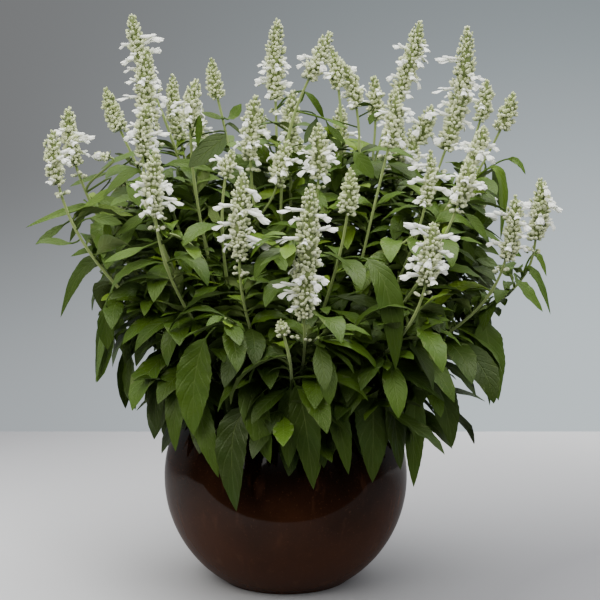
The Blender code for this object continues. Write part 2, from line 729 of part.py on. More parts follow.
def stem_leaf(stem, t, turn, outward_only, draw):
    """A maker of the leaf at the parameter t of a stem, on the side that the turn gives."""
    root = bezier(stem.controls, t)[0]
    along = bezier_slope(stem.controls, t)[0]
    out = unit(np.append(root[:2] - BUSH_AXIS, 0.0))
    east = unit(np.cross(along, Z + 0.3 * out))
    north = np.cross(along, east)
    way = math.cos(turn) * east + math.sin(turn) * north
    if outward_only and way @ out < 0:
        way = -way
    length = np.interp(root[2], LEAF_HEIGHTS, LEAF_LENGTHS)
    rise = np.interp(root[2], *LEAF_RISE)
    droop = np.interp(root[2], *LEAF_DROOP)

    def make(attempt):
        size = length * draw.uniform(0.85, 1.15) * (1 - 0.03 * attempt)
        tilt = draw.normal() * (0.12 + 0.06 * attempt)
        swing = draw.normal() * (0.15 + 0.10 * attempt)
        level = unit(np.array([way[0], way[1], 0.0]) + 0.35 * out)
        level = math.cos(swing) * level + math.sin(swing) * np.cross(Z, level)
        bend = LEAF_BEND + tilt
        steps = (
            unit(way + along * rise),
            level * math.cos(bend) + Z * math.sin(bend),
            level * math.cos(droop + tilt) + Z * math.sin(droop + tilt),
        )
        controls = [root]
        for step, share in zip(steps, LEAF_STEPS):
            controls.append(controls[-1] + step * size * share)
        face = unit(Z + 0.9 * level + 0.25 * draw.normal(size=3))
        stations = MIDDLE_STATIONS if size > LARGE_LEAF else SMALL_STATIONS
        return Leaf(stem, t, np.array(controls), face, size * LEAF_SLIMNESS, LEAF_PETIOLE, stations, False)

    return make


def outline_leaf(row, stems, draw):
    """A maker of a leaf of the outline, which starts on the stem nearest its root."""
    (root, tip, root_depth, tip_depth, width, arch) = row
    start = seen(*root, root_depth)
    end = seen(*tip, tip_depth)
    spots = [(stem, t) for stem in stems for t in stem.joints]

    def distance(spot):
        place = bezier(spot[0].controls, spot[1])[0]
        return np.linalg.norm(place - start) + 2 * max(0.0, start[2] - 0.03 - place[2])

    near = sorted(spots, key=distance)[:4]
    out = unit(np.append(start[:2] - BUSH_AXIS, 0.0))

    def make(attempt):
        stem, t = near[attempt % len(near)]
        place = bezier(stem.controls, t)[0]
        reach = np.linalg.norm(start - place)
        length = reach + np.linalg.norm(end - start)
        shift = -Y * draw.uniform(0, 3 * MM) * attempt
        bow = Z * arch * MM + out * 0.5 * arch * MM
        first = place + (start - place) * 0.75 + bow * 0.8 + shift * 0.5
        second = start + (end - start) * 0.35 + bow + shift
        face = unit(out + 0.8 * Z + 0.3 * draw.normal(size=3))
        petiole = min(0.5, 0.8 * reach / length)
        controls = np.array([place, first, second, end + shift])
        return Leaf(stem, t, controls, face, width * MM, petiole, LARGE_STATIONS, petiole > 0.2)

    return make


def place_leaves(space, stems):
    """The leaves of the outline, then those of the shoots and stems: the outer one of each opposite pair."""
    draw = np.random.default_rng(SEED + 2)
    leaves = []
    for number, row in enumerate(OUTLINE_LEAVES):
        leaf = place_leaf(space, outline_leaf(row, stems, draw), 4 * LEAF_TRIES, math.inf)
        if leaf is None:
            print("no clear place for outline leaf", number)
            continue
        leaves.append(leaf)
    for stem in sorted(stems, key=lambda s: s.flowering):
        for k, t in enumerate(stem.joints):
            turn = stem.turn + k * math.pi / 2
            paired = t == stem.joints[-1]
            leaves.append(place_leaf(space, stem_leaf(stem, t, turn, not paired, draw), LEAF_TRIES))
            if paired:
                leaves.append(place_leaf(space, stem_leaf(stem, t, turn + math.pi, False, draw), LEAF_TRIES))
    return [leaf for leaf in leaves if leaf is not None]


def joint_side(shape, stem, t, way):
    """The free side of the short stretch at a joint that looks most nearly this way."""
    place = Vector(bezier(stem.controls, t)[0])
    free = [side for side in shape.faces if len(side.verts) == 4]
    near = [side for side in free if (side.calc_center_median() - place).length < 2 * STEM_FOOT]
    return max(near, key=lambda side: side.normal.dot(way)) if near else None


def leafy_stem(name, stem, leaves, collection):
    """A stem as a square beveled curve, made a mesh with its caps welded, with its leaves drawn out of it."""
    points = stem_points(stem, [leaf.t for leaf in leaves])
    curve = bpy.data.curves.new(name, "CURVE")
    curve.dimensions = "3D"
    curve.bevel_depth = 1.0
    curve.bevel_resolution = 0
    curve.use_fill_caps = True
    line = curve.splines.new("POLY")
    line.points.add(len(points) - 1)
    for spot, place, radius in zip(line.points, points, np.linspace(stem.foot, stem.top, len(points))):
        spot.co = (*place, 1.0)
        spot.radius = radius
    guide = bpy.data.objects.new(name, curve)
    collection.objects.link(guide)
    bpy.context.view_layer.update()
    mesh = bpy.data.meshes.new_from_object(guide.evaluated_get(bpy.context.evaluated_depsgraph_get()))
    bpy.data.objects.remove(guide)
    shape = bmesh.new()
    shape.from_mesh(mesh)
    bmesh.ops.remove_doubles(shape, verts=shape.verts, dist=0.00001)
    shape.normal_update()
    for leaf in leaves:
        rings, tip = leaf_rings(leaf)
        side = joint_side(shape, stem, leaf.t, Vector(bezier(leaf.controls, 0.12)[0] - leaf.controls[0]))
        if side:
            draw_out(shape, side, rings, tip)
    shape.to_mesh(mesh)
    shape.free()
    return new_object(name, mesh, collection)


def keep_main_body(mesh):
    """Drops loose scraps and the walls of sealed hollows, so that one body is left."""
    shape = bmesh.new()
    shape.from_mesh(mesh)
    left = set(shape.faces)
    bodies = []
    while left:
        body = {left.pop()}
        edge_on = list(body)
        while edge_on:
            beside = {other for edge in edge_on.pop().edges for other in edge.link_faces} & left
            left -= beside
            body |= beside
            edge_on += beside
        bodies.append(body)
    bodies.sort(key=len)
    scraps = [face for body in bodies[:-1] for face in body]
    bmesh.ops.delete(shape, geom=scraps, context="FACES")
    shape.to_mesh(mesh)
    shape.free()


def fuse(base, repeats):
    """One solid of the base object and all that its collection of repeats holds."""
    join = base.modifiers.new("fuse", "BOOLEAN")
    join.operation = "UNION"
    join.operand_type = "COLLECTION"
    join.collection = repeats
    join.solver = "MANIFOLD"
    bpy.context.view_layer.update()
    mesh = bpy.data.meshes.new_from_object(base.evaluated_get(bpy.context.evaluated_depsgraph_get()))
    keep_main_body(mesh)
    base.modifiers.clear()
    base.data = mesh
    for made in list(repeats.objects):
        bpy.data.objects.remove(made)
    bpy.data.collections.remove(repeats)


def shade(made, angle=35):
    """Smooth shading with edges sharper than the angle kept."""
    made.data.shade_smooth()
    made.data.set_sharp_from_angle(angle=math.radians(angle))


def make_plant(number, stems, leaves, collection, helpers, finish):
    """One plant: its crown in the soil, its stems and their leaves, fused."""
    repeats = bpy.data.collections.new(f"repeats_{number}")
    helpers.children.link(repeats)
    place = crown_places()[number]
    low = HOLE_BOTTOM + GAP
    radii = (CROWN_RADIUS * 0.9, CROWN_RADIUS)
    crown = upright_cone(f"leafy_plant_{number + 1}", place, low, CROWN_TOP, radii, collection)
    for i, stem in enumerate(one for one in stems if one.plant == number):
        leafy_stem(f"stem_{number}_{i}", stem, [leaf for leaf in leaves if leaf.stem is stem], repeats)
    fuse(crown, repeats)
    crown.data.materials.clear()
    crown.data.materials.append(finish)
    shade(crown)
    return crown


def make_spike(row, space, collection, finish):
    """One flower spike, kept clear of by all that is placed after it."""
    name, base, tip, florets, width = row
    spike = bud_column(f"flower_spike_{name}", base, tip, width, florets, collection)
    spike.data.materials.append(finish)
    shade(spike, 50)
    buds = bud_guard(base, tip, width)
    shapes = [buds] + [floret_guard(base, tip, width, k, florets) for k in range(florets)]
    if any(space.meets(*shape) for shape in shapes):
        print("spike meets another:", name)
    for shape in shapes:
        space.add(name, *shape)


def main():
    """Builds the pot, the soil, the flower spikes and the leafy plants."""
    for made in list(bpy.data.objects):
        bpy.data.objects.remove(made)
    scene = bpy.context.scene.collection
    parts = bpy.data.collections.new("potted_salvia")
    cutters = bpy.data.collections.new("hole_cutters")
    helpers = bpy.data.collections.new("repeats")
    for made in (parts, cutters, helpers):
        scene.children.link(made)

    make_pot(parts)
    make_soil(parts, cutters)

    space = Space()
    space.add("pot", *pot_guard())
    for plant, place in enumerate(crown_places()):
        space.add(plant, *crown_guard(place))
    rows = all_spikes()
    white = material("felted calyx and corolla", (0.66, 0.70, 0.56), 0.75)
    for row in rows:
        make_spike(row, space, parts, white)
    stems = place_stems(space, rows)
    leaves = place_leaves(space, stems)
    green = material("sage leaf", (0.045, 0.085, 0.012), 0.5)
    for number in range(RING_PLANTS + 1):
        make_plant(number, stems, leaves, parts, helpers, green)
    bpy.data.collections.remove(helpers)
    print(len(rows), "spikes,", len(stems), "stems,", len(leaves), "leaves")


main()
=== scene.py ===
"""Looks of the potted salvia: a white mealycup sage in a dark glazed ball pot.

Metres, +Z up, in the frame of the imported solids. The layout sets every stem, leaf and spike where the solids
have it, by the same rule and the same seeds. The dressing then builds each piece in full around it.
"""

import logging
import math
from dataclasses import dataclass, field, replace
from enum import Enum
from typing import Any, Callable, Optional, Sequence

import bpy
import numpy as np
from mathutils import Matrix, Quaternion, Vector
from mathutils.bvhtree import BVHTree

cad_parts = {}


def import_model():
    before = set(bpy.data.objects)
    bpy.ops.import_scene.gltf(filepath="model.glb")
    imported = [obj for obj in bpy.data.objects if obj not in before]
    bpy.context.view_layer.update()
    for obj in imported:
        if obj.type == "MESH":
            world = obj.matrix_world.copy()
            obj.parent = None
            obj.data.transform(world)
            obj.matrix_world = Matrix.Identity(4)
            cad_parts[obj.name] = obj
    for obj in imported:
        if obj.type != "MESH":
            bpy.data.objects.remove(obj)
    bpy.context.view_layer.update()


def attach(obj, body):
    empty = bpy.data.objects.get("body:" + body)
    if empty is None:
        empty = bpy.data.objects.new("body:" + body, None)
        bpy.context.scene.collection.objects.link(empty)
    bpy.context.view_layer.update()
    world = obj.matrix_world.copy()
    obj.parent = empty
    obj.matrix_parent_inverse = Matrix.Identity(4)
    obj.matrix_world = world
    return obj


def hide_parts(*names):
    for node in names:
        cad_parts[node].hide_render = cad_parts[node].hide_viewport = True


LOG = logging.getLogger("potted_salvia")

Array = np.ndarray
Object, Material, Tree, Node = bpy.types.Object, bpy.types.Material, bpy.types.NodeTree, bpy.types.Node
Pair = tuple[float, float]
Faces = list[tuple[int, ...]]
Shape = tuple[Array, Faces]
Numbers = tuple[float, ...]
Draw = np.random.Generator
Petal = tuple[Array, Array, Array]  # the rings of a skin and the points that close its two ends
MM = 0.001
SEED = 27
GAP = 0.3 * MM
X, Y, Z = np.eye(3)


# Vectors, curves and closed skins


def unit(vector: Array) -> Array:
    """The vector at length one."""
    return vector / np.linalg.norm(vector)


def units(rows: Array) -> Array:
    """Every vector of an array at length one, along its last axis."""
    return rows / np.maximum(np.linalg.norm(rows, axis=-1, keepdims=True), 1e-12)


def circle(count: int) -> Array:
    """The angles of this many points, spread evenly round a circle."""
    return np.arange(count) * math.tau / count


def turned(angle: Array, first: Array, second: Array) -> Array:
    """Directions at an angle from the first towards the second: cosine times one plus sine times the other."""
    return np.cos(angle)[..., None] * first + np.sin(angle)[..., None] * second


def spread(*parts: Any) -> Array:
    """The parts of points or places, spread over one grid and put side by side along a new last axis."""
    return np.stack(np.broadcast_arrays(*parts), axis=-1)


def smooth_step(low: float, high: float, value: Array) -> Array:
    """Zero below low, one above high, and 3 x squared minus 2 x cubed in between."""
    share = np.clip((value - low) / (high - low), 0, 1)
    return share * share * (3 - 2 * share)


def bezier(controls: Array, t: Any) -> Array:
    """Points of a cubic Bezier curve.

    Args:
        controls: its four points.
        t: the parameters, one or several.

    Returns:
        One row for each parameter: the weighted sum of the four points.
    """
    t = np.asarray(t, float).reshape(-1, 1)
    a, b, c, d = controls
    return (1 - t) ** 3 * a + 3 * (1 - t) ** 2 * t * b + 3 * (1 - t) * t**2 * c + t**3 * d


def bezier_slope(controls: Array, t: Any) -> Array:
    """Unit tangents of a cubic Bezier curve.

    Args:
        controls: its four points.
        t: the parameters, one or several.

    Returns:
        One row for each parameter.
    """
    t = np.asarray(t, float).reshape(-1, 1)
    a, b, c, d = controls
    return units((1 - t) ** 2 * (b - a) + 2 * (1 - t) * t * (c - b) + t**2 * (d - c))


def guard_faces(count: int, around: int, tip: int) -> Faces:
    """Triangles of a plain tube that tests what a piece would meet.

    Args:
        count: how many rings it has.
        around: the points of one ring.
        tip: the index of the point that closes its far end.

    Returns:
        The triangles, with a fan on the first ring and one at the tip.
    """
    faces = []
    for i in range(count - 1):
        for j in range(around):
            a, b = i * around + j, i * around + (j + 1) % around
            c, d = a + around, b + around
            faces += [(a, b, d), (a, d, c)] if j % 2 else [(a, b, c), (b, d, c)]
    faces += [(0, j + 1, j) for j in range(1, around - 1)]
    last = (count - 1) * around
    return faces + [(last + j, last + (j + 1) % around, tip) for j in range(around)]


def guard_tube(points: Array, radii: Array) -> Shape:
    """A square tube along a line, which tests what a stem or a spike would meet.

    Args:
        points: the line, one row a ring.
        radii: half the tube's diagonal at each ring.

    Returns:
        Points and triangles.
    """
    slopes = units(np.gradient(points, axis=0))
    first = units(np.cross(slopes, Y + 0.01 * X))
    second = np.cross(slopes, first)
    rows = [points + radii[:, None] * way for way in (first, second, -first, -second)]
    rings = np.stack(rows, axis=1).reshape(-1, 3)
    end = points[-1] + slopes[-1] * radii[-1] * 0.1
    return np.vstack([rings, end]), guard_faces(len(points), 4, len(rings))


def tube_faces(rows: int, around: int) -> tuple[Array, Array]:
    """Faces of a closed tube: its rings in order, then its root and its tip.

    Args:
        rows: how many rings it has.
        around: the points of one ring, which runs anticlockwise seen from the tip.

    Returns:
        The quads between rings, and the triangles of the two end fans.
    """
    j = np.arange(around)
    k = (j + 1) % around
    base = np.arange(rows - 1)[:, None] * around
    quads = np.stack([base + j, base + k, base + k + around, base + j + around], axis=-1).reshape(-1, 4)
    last = (rows - 1) * around
    root, tip = rows * around, rows * around + 1
    start = np.stack([k, j, np.full(around, root)], axis=1)
    end = np.stack([last + j, last + k, np.full(around, tip)], axis=1)
    return quads, np.vstack([start, end])


def thin_skin(middle: Array, normal: Array, upper: Array, lower: Array) -> Array:
    """Wraps a sheet, given on a grid of rows along and columns across, into rings of one closed skin.

    The upper face is the sheet raised along its normals, the lower face is the sheet sunk along them, and the
    two meet in the sheet's own edge points.

    Args:
        middle: rows by columns by 3, the sheet.
        normal: its unit normals, of the same shape or one for each row.
        upper: how far the upper face stands off, rows by columns.
        lower: how far the lower face stands off.

    Returns:
        Rows by 2 (columns - 1) by 3: each ring runs over the upper face and back under the lower one.
    """
    top = middle + normal * upper[..., None]
    under = middle - normal * lower[..., None]
    top[:, 0], top[:, -1] = middle[:, 0], middle[:, -1]
    return np.concatenate([top, under[:, -2:0:-1]], axis=1)


class Body:
    """Gathers the points and faces of one piece, and makes its object."""

    def __init__(self) -> None:
        """Starts with nothing in it."""
        self.points: list[Array] = []
        self.maps: list[Array] = []
        self.tones: list[Array] = []
        self.quads: list[Array] = []
        self.tris: list[Array] = []
        self.quad_finish: list[Array] = []
        self.tri_finish: list[Array] = []
        self.count = 0

    def add(
        self, points: Array, quads: Array, tris: Array, maps: Array, tone: Any = 0.5, finish: Any = (0, 0)
    ) -> None:
        """Adds one or several copies of a shape.

        Args:
            points: N by 3, or copies by N by 3.
            quads: the shape's quads, by its own point numbers.
            tris: its triangles.
            maps: N by 2, where each point lies on the finish's own map.
            tone: one number, or one for each copy, which varies the finish.
            finish: the numbers of the material of the quads and of the triangles, each one or one a face.
        """
        points = points.reshape(-1, *points.shape[-2:])
        copies, size = points.shape[:2]
        start = self.count + (np.arange(copies) * size)[:, None, None]
        self.points.append(points.reshape(-1, 3))
        self.maps.append(np.tile(maps, (copies, 1)))
        self.tones.append(np.repeat(np.broadcast_to(np.asarray(tone, float), (copies,)), size))
        marked = (
            (self.quads, self.quad_finish, quads, finish[0]),
            (self.tris, self.tri_finish, tris, finish[1]),
        )
        for kept, marks, faces, mark in marked:
            kept.append((faces[None] + start).reshape(-1, faces.shape[1]))
            marks.append(np.tile(np.broadcast_to(mark, (len(faces),)), copies))
        self.count += copies * size

    def tube(
        self, rings: Array, root: Array, tip: Array, maps: Array, tone: Any = 0.5, finish: Any = 0
    ) -> None:
        """Adds a closed tube from its rings, rows by around by 3, and the points that close its ends.

        Args:
            rings: the rings from root to tip.
            root: the point that closes the first ring.
            tip: the point that closes the last ring.
            maps: rows by around by 2, the place of every ring point on the finish's map.
            tone: varies the finish.
            finish: the number of the material, one for all or one for each face round a ring.
        """
        rows, around = rings.shape[:2]
        mark = np.broadcast_to(finish, (around,))
        quads, tris = tube_faces(rows, around)
        points = np.vstack([rings.reshape(-1, 3), root, tip])
        maps = np.vstack([maps.reshape(-1, 2), maps[0].mean(axis=0), maps[-1].mean(axis=0)])
        self.add(points, quads, tris, maps, tone, (np.tile(mark, rows - 1), np.tile(mark, 2)))

    def make(self, name: str, finishes: Sequence[Material], sharp: float) -> Object:
        """Makes the object, smooth but for the edges that are sharper than an angle.

        Args:
            name: the piece's name.
            finishes: its materials.
            sharp: the angle in degrees past which an edge stays an edge.

        Returns:
            The object, at the origin, with its place in its mesh.
        """
        points = np.vstack(self.points).astype(np.float32)
        quads, tris = np.vstack(self.quads), np.vstack(self.tris)
        corners = np.concatenate([quads.ravel(), tris.ravel()]).astype(np.int32)
        starts = np.concatenate([np.arange(len(quads)) * 4, len(quads) * 4 + np.arange(len(tris)) * 3])
        marks = np.concatenate([*self.quad_finish, *self.tri_finish]).astype(np.int32)
        mesh = bpy.data.meshes.new(name)
        mesh.vertices.add(len(points))
        mesh.vertices.foreach_set("co", points.ravel())
        mesh.loops.add(len(corners))
        mesh.loops.foreach_set("vertex_index", corners)
        mesh.polygons.add(len(starts))
        mesh.polygons.foreach_set("loop_start", starts.astype(np.int32))
        for finish in finishes:
            mesh.materials.append(finish)
        mesh.polygons.foreach_set("material_index", marks)
        mesh.update(calc_edges=True)
        layer = mesh.uv_layers.new(name="surface")
        layer.uv.foreach_set("vector", np.vstack(self.maps)[corners].astype(np.float32).ravel())
        tone = mesh.attributes.new("tone", "FLOAT", "POINT")
        tone.data.foreach_set("value", np.concatenate(self.tones).astype(np.float32))
        mesh.shade_smooth()
        mesh.set_sharp_from_angle(angle=math.radians(sharp))
        made = bpy.data.objects.new(name, mesh)
        bpy.context.scene.collection.objects.link(made)
        return made


def put_in_place(piece: Object, slot: str, *nodes: str) -> None:
    """Lets a piece ride on the part, and hides and logs the solids that it stands for.

    Args:
        piece: the finished piece.
        slot: not used.
        nodes: the solids.
    """
    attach(piece, "root")
    if nodes:
        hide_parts(*nodes)
    LOG.info("%s: %d faces, for %s", piece.name, len(piece.data.polygons), ", ".join(nodes) or "itself")


# Finishes


SMOOTH = {"interpolation_type": "SMOOTHSTEP"}
COLOURS = {"data_type": "RGBA"}
SHARE, UNDER, OVER = 0, 6, 7  # inputs of a Mix node for colours
VALUE, LOW, HIGH, AT_LOW, AT_HIGH = range(5)  # inputs of a Map Range node


def linear(code: str) -> tuple[float, float, float, float]:
    """The linear colour of an sRGB hex code such as 8fa05a, with full alpha."""
    parts = [int(code[i : i + 2], 16) / 255 for i in (0, 2, 4)]
    return (*(p / 12.92 if p <= 0.04045 else ((p + 0.055) / 1.055) ** 2.4 for p in parts), 1.0)


def node(tree: Tree, kind: str, settings: dict[Any, Any], links: dict[Any, Any]) -> Node:
    """Adds a node with its settings and links.

    Args:
        tree: the node tree that it goes into.
        kind: Blender's name of the node, without the word Shader that begins it.
        settings: properties by name, and values of inputs by number or by "in:" and the name. A text for an
            input is an sRGB hex colour.
        links: what feeds each input, by number or name: an output, or a node for its first live output.

    Returns:
        The node.
    """
    made = tree.nodes.new("Shader" + kind)
    for key, value in settings.items():
        if isinstance(key, int) or key.startswith("in:"):
            socket = made.inputs[key if isinstance(key, int) else key[3:]]
            socket.default_value = linear(value) if isinstance(value, str) else value
        else:
            setattr(made, key, value)
    for key, source in links.items():
        if isinstance(source, Node):
            source = next(output for output in source.outputs if output.enabled)
        tree.links.new(source, made.inputs[key])
    return made


@dataclass(frozen=True)
class Finish:
    """A material with a Principled shader, which each real finish fills in."""

    title: str
    roughness: float = 0.5
    ior: float = 1.45
    coat: float = 0.0
    coat_roughness: float = 0.05
    sheen: float = 0.0
    gloss: float = 0.5
    gloss_tint: str = "ffffff"
    relief: Pair = (0.0, 0.0)  # strength and depth

    def start(self) -> tuple[Material, Tree, Node]:
        """Makes the material.

        Returns:
            The material, its node tree, and its Principled shader with the constant values set.
        """
        made = bpy.data.materials.new(self.title)
        made.use_nodes = True
        tree = made.node_tree
        shader = tree.nodes["Principled BSDF"]
        values = {
            "Roughness": self.roughness,
            "IOR": self.ior,
            "Coat Weight": self.coat,
            "Coat Roughness": self.coat_roughness,
            "Sheen Weight": self.sheen,
            "Specular IOR Level": self.gloss,
            "Specular Tint": linear(self.gloss_tint),
        }
        for name, value in values.items():
            shader.inputs[name].default_value = value
        return made, tree, shader

    def join(self, tree: Tree, shader: Node, colour: Node, height: Node) -> Node:
        """Joins the colour and the relief to the shader.

        Args:
            tree: the material's node tree.
            shader: its Principled shader.
            colour: the last node of the colour.
            height: the last node of the relief.

        Returns:
            The bump node.
        """
        strength, depth = self.relief
        tree.links.new(colour.outputs[2], shader.inputs["Base Color"])
        bump = node(tree, "NodeBump", {"in:Strength": strength, "in:Distance": depth}, {"Height": height})
        tree.links.new(bump.outputs[0], shader.inputs["Normal"])
        return bump


class LeafFace(Enum):
    """The two faces of a leaf."""

    UPPER = "upper"
    LOWER = "lower"


@dataclass(frozen=True)
class SageLeaf(Finish):
    """Living leaf of mealycup sage, grown with a thin waxy skin: olive green and softly shiny above, greyer and
    dull below, with a pale midrib and a net of side veins."""

    title: str = "sage leaf"
    roughness: float = 0.45
    ior: float = 1.42
    gloss_tint: str = "e6ecd0"
    face: LeafFace = LeafFace.UPPER
    # deep green, and painted shade on the low leaves
    deep_and_shaded: str = "29390f"
    fresh: str = "4d691d"
    young: str = "7f9c2e"
    cool: str = "36562a"
    rib: str = "8c9e5b"
    rib_share: float = 0.20
    rib_half: Pair = (0.008, 0.032)
    side_veins: float = 9.0
    vein_slant: float = -0.42
    vein_share: float = 0.03
    net: float = 420.0
    relief: Pair = (0.40, 1.0 * MM)

    def make(self) -> Material:
        """Builds the leaf material on the piece's own map: from 0 to 1 across the leaf and along it. The side
        veins leave the midrib nine times in the length and slant towards the tip. The net between them is finer
        than a millimetre, and is drawn at about 2.4 mm so that it shows.

        Returns:
            The material.
        """
        made, tree, shader = self.start()
        place = node(tree, "NodeUVMap", {"uv_map": "surface"}, {})
        split = node(tree, "NodeSeparateXYZ", {}, {0: place})
        across, along = split.outputs[0], split.outputs[1]
        tone = node(tree, "NodeAttribute", {"attribute_name": "tone"}, {}).outputs["Fac"]
        where = node(tree, "NodeTexCoord", {}, {}).outputs["Object"]
        patches = node(tree, "NodeTexNoise", {"in:Scale": 38.0, "in:Detail": 3.0}, {"Vector": where})
        net = node(tree, "NodeTexVoronoi", {"in:Scale": self.net}, {"Vector": where})

        off_rib = node(tree, "NodeMath", {"operation": "SUBTRACT", 1: 0.5}, {0: across})
        from_rib = node(tree, "NodeMath", {"operation": "ABSOLUTE"}, {0: off_rib})
        edge = {LOW: self.rib_half[0], HIGH: self.rib_half[1], AT_LOW: 1.0, AT_HIGH: 0.0}
        rib = node(tree, "NodeMapRange", SMOOTH | edge, {VALUE: from_rib})
        slant = node(tree, "NodeMath", {"operation": "MULTIPLY", 1: self.vein_slant}, {0: from_rib})
        run = node(tree, "NodeMath", {"operation": "ADD"}, {0: along, 1: slant})
        turns = node(tree, "NodeMath", {"operation": "MULTIPLY", 1: self.side_veins * math.tau}, {0: run})
        wave = node(tree, "NodeMath", {"operation": "COSINE"}, {0: turns})
        veins = node(tree, "NodeMapRange", SMOOTH | {LOW: 0.6, HIGH: 1.0}, {VALUE: wave})
        fade = node(tree, "NodeMapRange", {LOW: 0.25, HIGH: 1.0, AT_LOW: 1.0, AT_HIGH: 0.2}, {VALUE: along})

        # The tone paints shade and light by height: low leaves go deep, high ones fresh and young; youth and a
        # random stray add to it
        age_and_light = node(tree, "NodeMapRange", SMOOTH | {LOW: 0.0, HIGH: 0.8}, {VALUE: tone})
        colour = node(tree, "NodeMix", COLOURS | {UNDER: self.deep_and_shaded, OVER: self.fresh}, {SHARE: age_and_light})
        new = node(tree, "NodeMapRange", SMOOTH | {LOW: 0.68, HIGH: 1.0, AT_HIGH: 0.9}, {VALUE: tone})
        colour = node(tree, "NodeMix", COLOURS | {OVER: self.young}, {SHARE: new, UNDER: colour})
        cool = node(tree, "NodeMapRange", SMOOTH | {LOW: 0.45, HIGH: 0.7, AT_HIGH: 0.18}, {VALUE: patches})
        colour = node(tree, "NodeMix", COLOURS | {OVER: self.cool}, {SHARE: cool, UNDER: colour})
        on_vein = node(tree, "NodeMath", {"operation": "MULTIPLY", 1: self.vein_share}, {0: veins})
        colour = node(tree, "NodeMix", COLOURS | {OVER: self.rib}, {SHARE: on_vein, UNDER: colour})
        on_rib = node(tree, "NodeMath", {"operation": "MULTIPLY", 1: self.rib_share}, {0: rib})
        faded = node(tree, "NodeMath", {"operation": "MULTIPLY"}, {0: on_rib, 1: fade})
        colour = node(tree, "NodeMix", COLOURS | {OVER: self.rib}, {SHARE: faded, UNDER: colour})

        sunk = node(tree, "NodeMath", {"operation": "MULTIPLY_ADD", 1: 0.7}, {0: veins, 2: rib})
        quilt = node(tree, "NodeMath", {"operation": "MULTIPLY_ADD", 1: -0.5}, {0: net, 2: sunk})
        bump = self.join(tree, shader, colour, quilt)
        bump.invert = self.face is LeafFace.UPPER
        return made


@dataclass(frozen=True)
class SageStem(Finish):
    """Square green stem of sage, ridged and finely felted: pale yellow green, with a soft edge."""

    title: str = "sage stem"
    roughness: float = 0.6
    sheen: float = 0.25
    low: str = "667a35"
    high: str = "9eb169"
    groove_shade: str = "748848"
    relief: Pair = (0.2, 0.3 * MM)

    def make(self) -> Material:
        """Builds the stem material: paler towards the top of the stem, darker in the four grooves as painted
        shade.

        Returns:
            The material.
        """
        made, tree, shader = self.start()
        place = node(tree, "NodeUVMap", {"uv_map": "surface"}, {})
        split = node(tree, "NodeSeparateXYZ", {}, {0: place})
        where = node(tree, "NodeTexCoord", {}, {}).outputs["Object"]
        grain = node(tree, "NodeTexNoise", {"in:Scale": 240.0, "in:Detail": 3.0}, {"Vector": where})
        height = node(tree, "NodeMapRange", SMOOTH | {LOW: 0.2, HIGH: 0.85}, {VALUE: split.outputs[1]})
        turns = node(tree, "NodeMath", {"operation": "MULTIPLY", 1: 4 * math.tau}, {0: split.outputs[0]})
        wave = node(tree, "NodeMath", {"operation": "COSINE"}, {0: turns})
        colour = node(tree, "NodeMix", COLOURS | {UNDER: self.low, OVER: self.high}, {SHARE: height})
        # Painted shade in the grooves of the square section
        groove_shade = node(tree, "NodeMapRange", SMOOTH | {LOW: 0.0, HIGH: 1.0, AT_HIGH: 0.6}, {VALUE: wave})
        colour = node(tree, "NodeMix", COLOURS | {OVER: self.groove_shade}, {SHARE: groove_shade, UNDER: colour})
        self.join(tree, shader, colour, grain)
        return made


@dataclass(frozen=True)
class FeltedCalyx(Finish):
    """Calyx under a coat of white wool: grey green at the foot, chalky towards the mouth, with no gloss."""

    title: str = "felted calyx"
    roughness: float = 0.95
    ior: float = 1.35
    sheen: float = 0.4
    foot: str = "7b8a50"
    wool: str = "e5ebc0"
    young: str = "b4c27c"
    relief: Pair = (0.5, 0.5 * MM)

    def make(self) -> Material:
        """Builds the calyx material, from foot to mouth along the piece's own map; the young ones near the top
        of a spike are greener. Wool hairs are far too fine to show, so the felt is drawn as tufts of 1.5 mm.

        Returns:
            The material.
        """
        made, tree, shader = self.start()
        place = node(tree, "NodeUVMap", {"uv_map": "surface"}, {})
        along = node(tree, "NodeSeparateXYZ", {}, {0: place}).outputs[1]
        tone = node(tree, "NodeAttribute", {"attribute_name": "tone"}, {}).outputs["Fac"]
        where = node(tree, "NodeTexCoord", {}, {}).outputs["Object"]
        tufts = node(tree, "NodeTexNoise", {"in:Scale": 650.0, "in:Detail": 2.0}, {"Vector": where})
        young = node(tree, "NodeMapRange", SMOOTH | {LOW: 0.35, HIGH: 1.0, AT_HIGH: 0.8}, {VALUE: tone})
        wool = node(tree, "NodeMix", COLOURS | {UNDER: self.wool, OVER: self.young}, {SHARE: young})
        mouth = node(tree, "NodeMapRange", SMOOTH | {LOW: 0.1, HIGH: 0.7}, {VALUE: along})
        colour = node(tree, "NodeMix", COLOURS | {UNDER: self.foot}, {SHARE: mouth, OVER: wool})
        gaps = node(tree, "NodeMapRange", SMOOTH | {LOW: 0.5, HIGH: 0.8, AT_HIGH: 0.3}, {VALUE: tufts})
        colour = node(tree, "NodeMix", COLOURS | {OVER: self.foot}, {SHARE: gaps, UNDER: colour})
        self.join(tree, shader, colour, tufts)
        return made


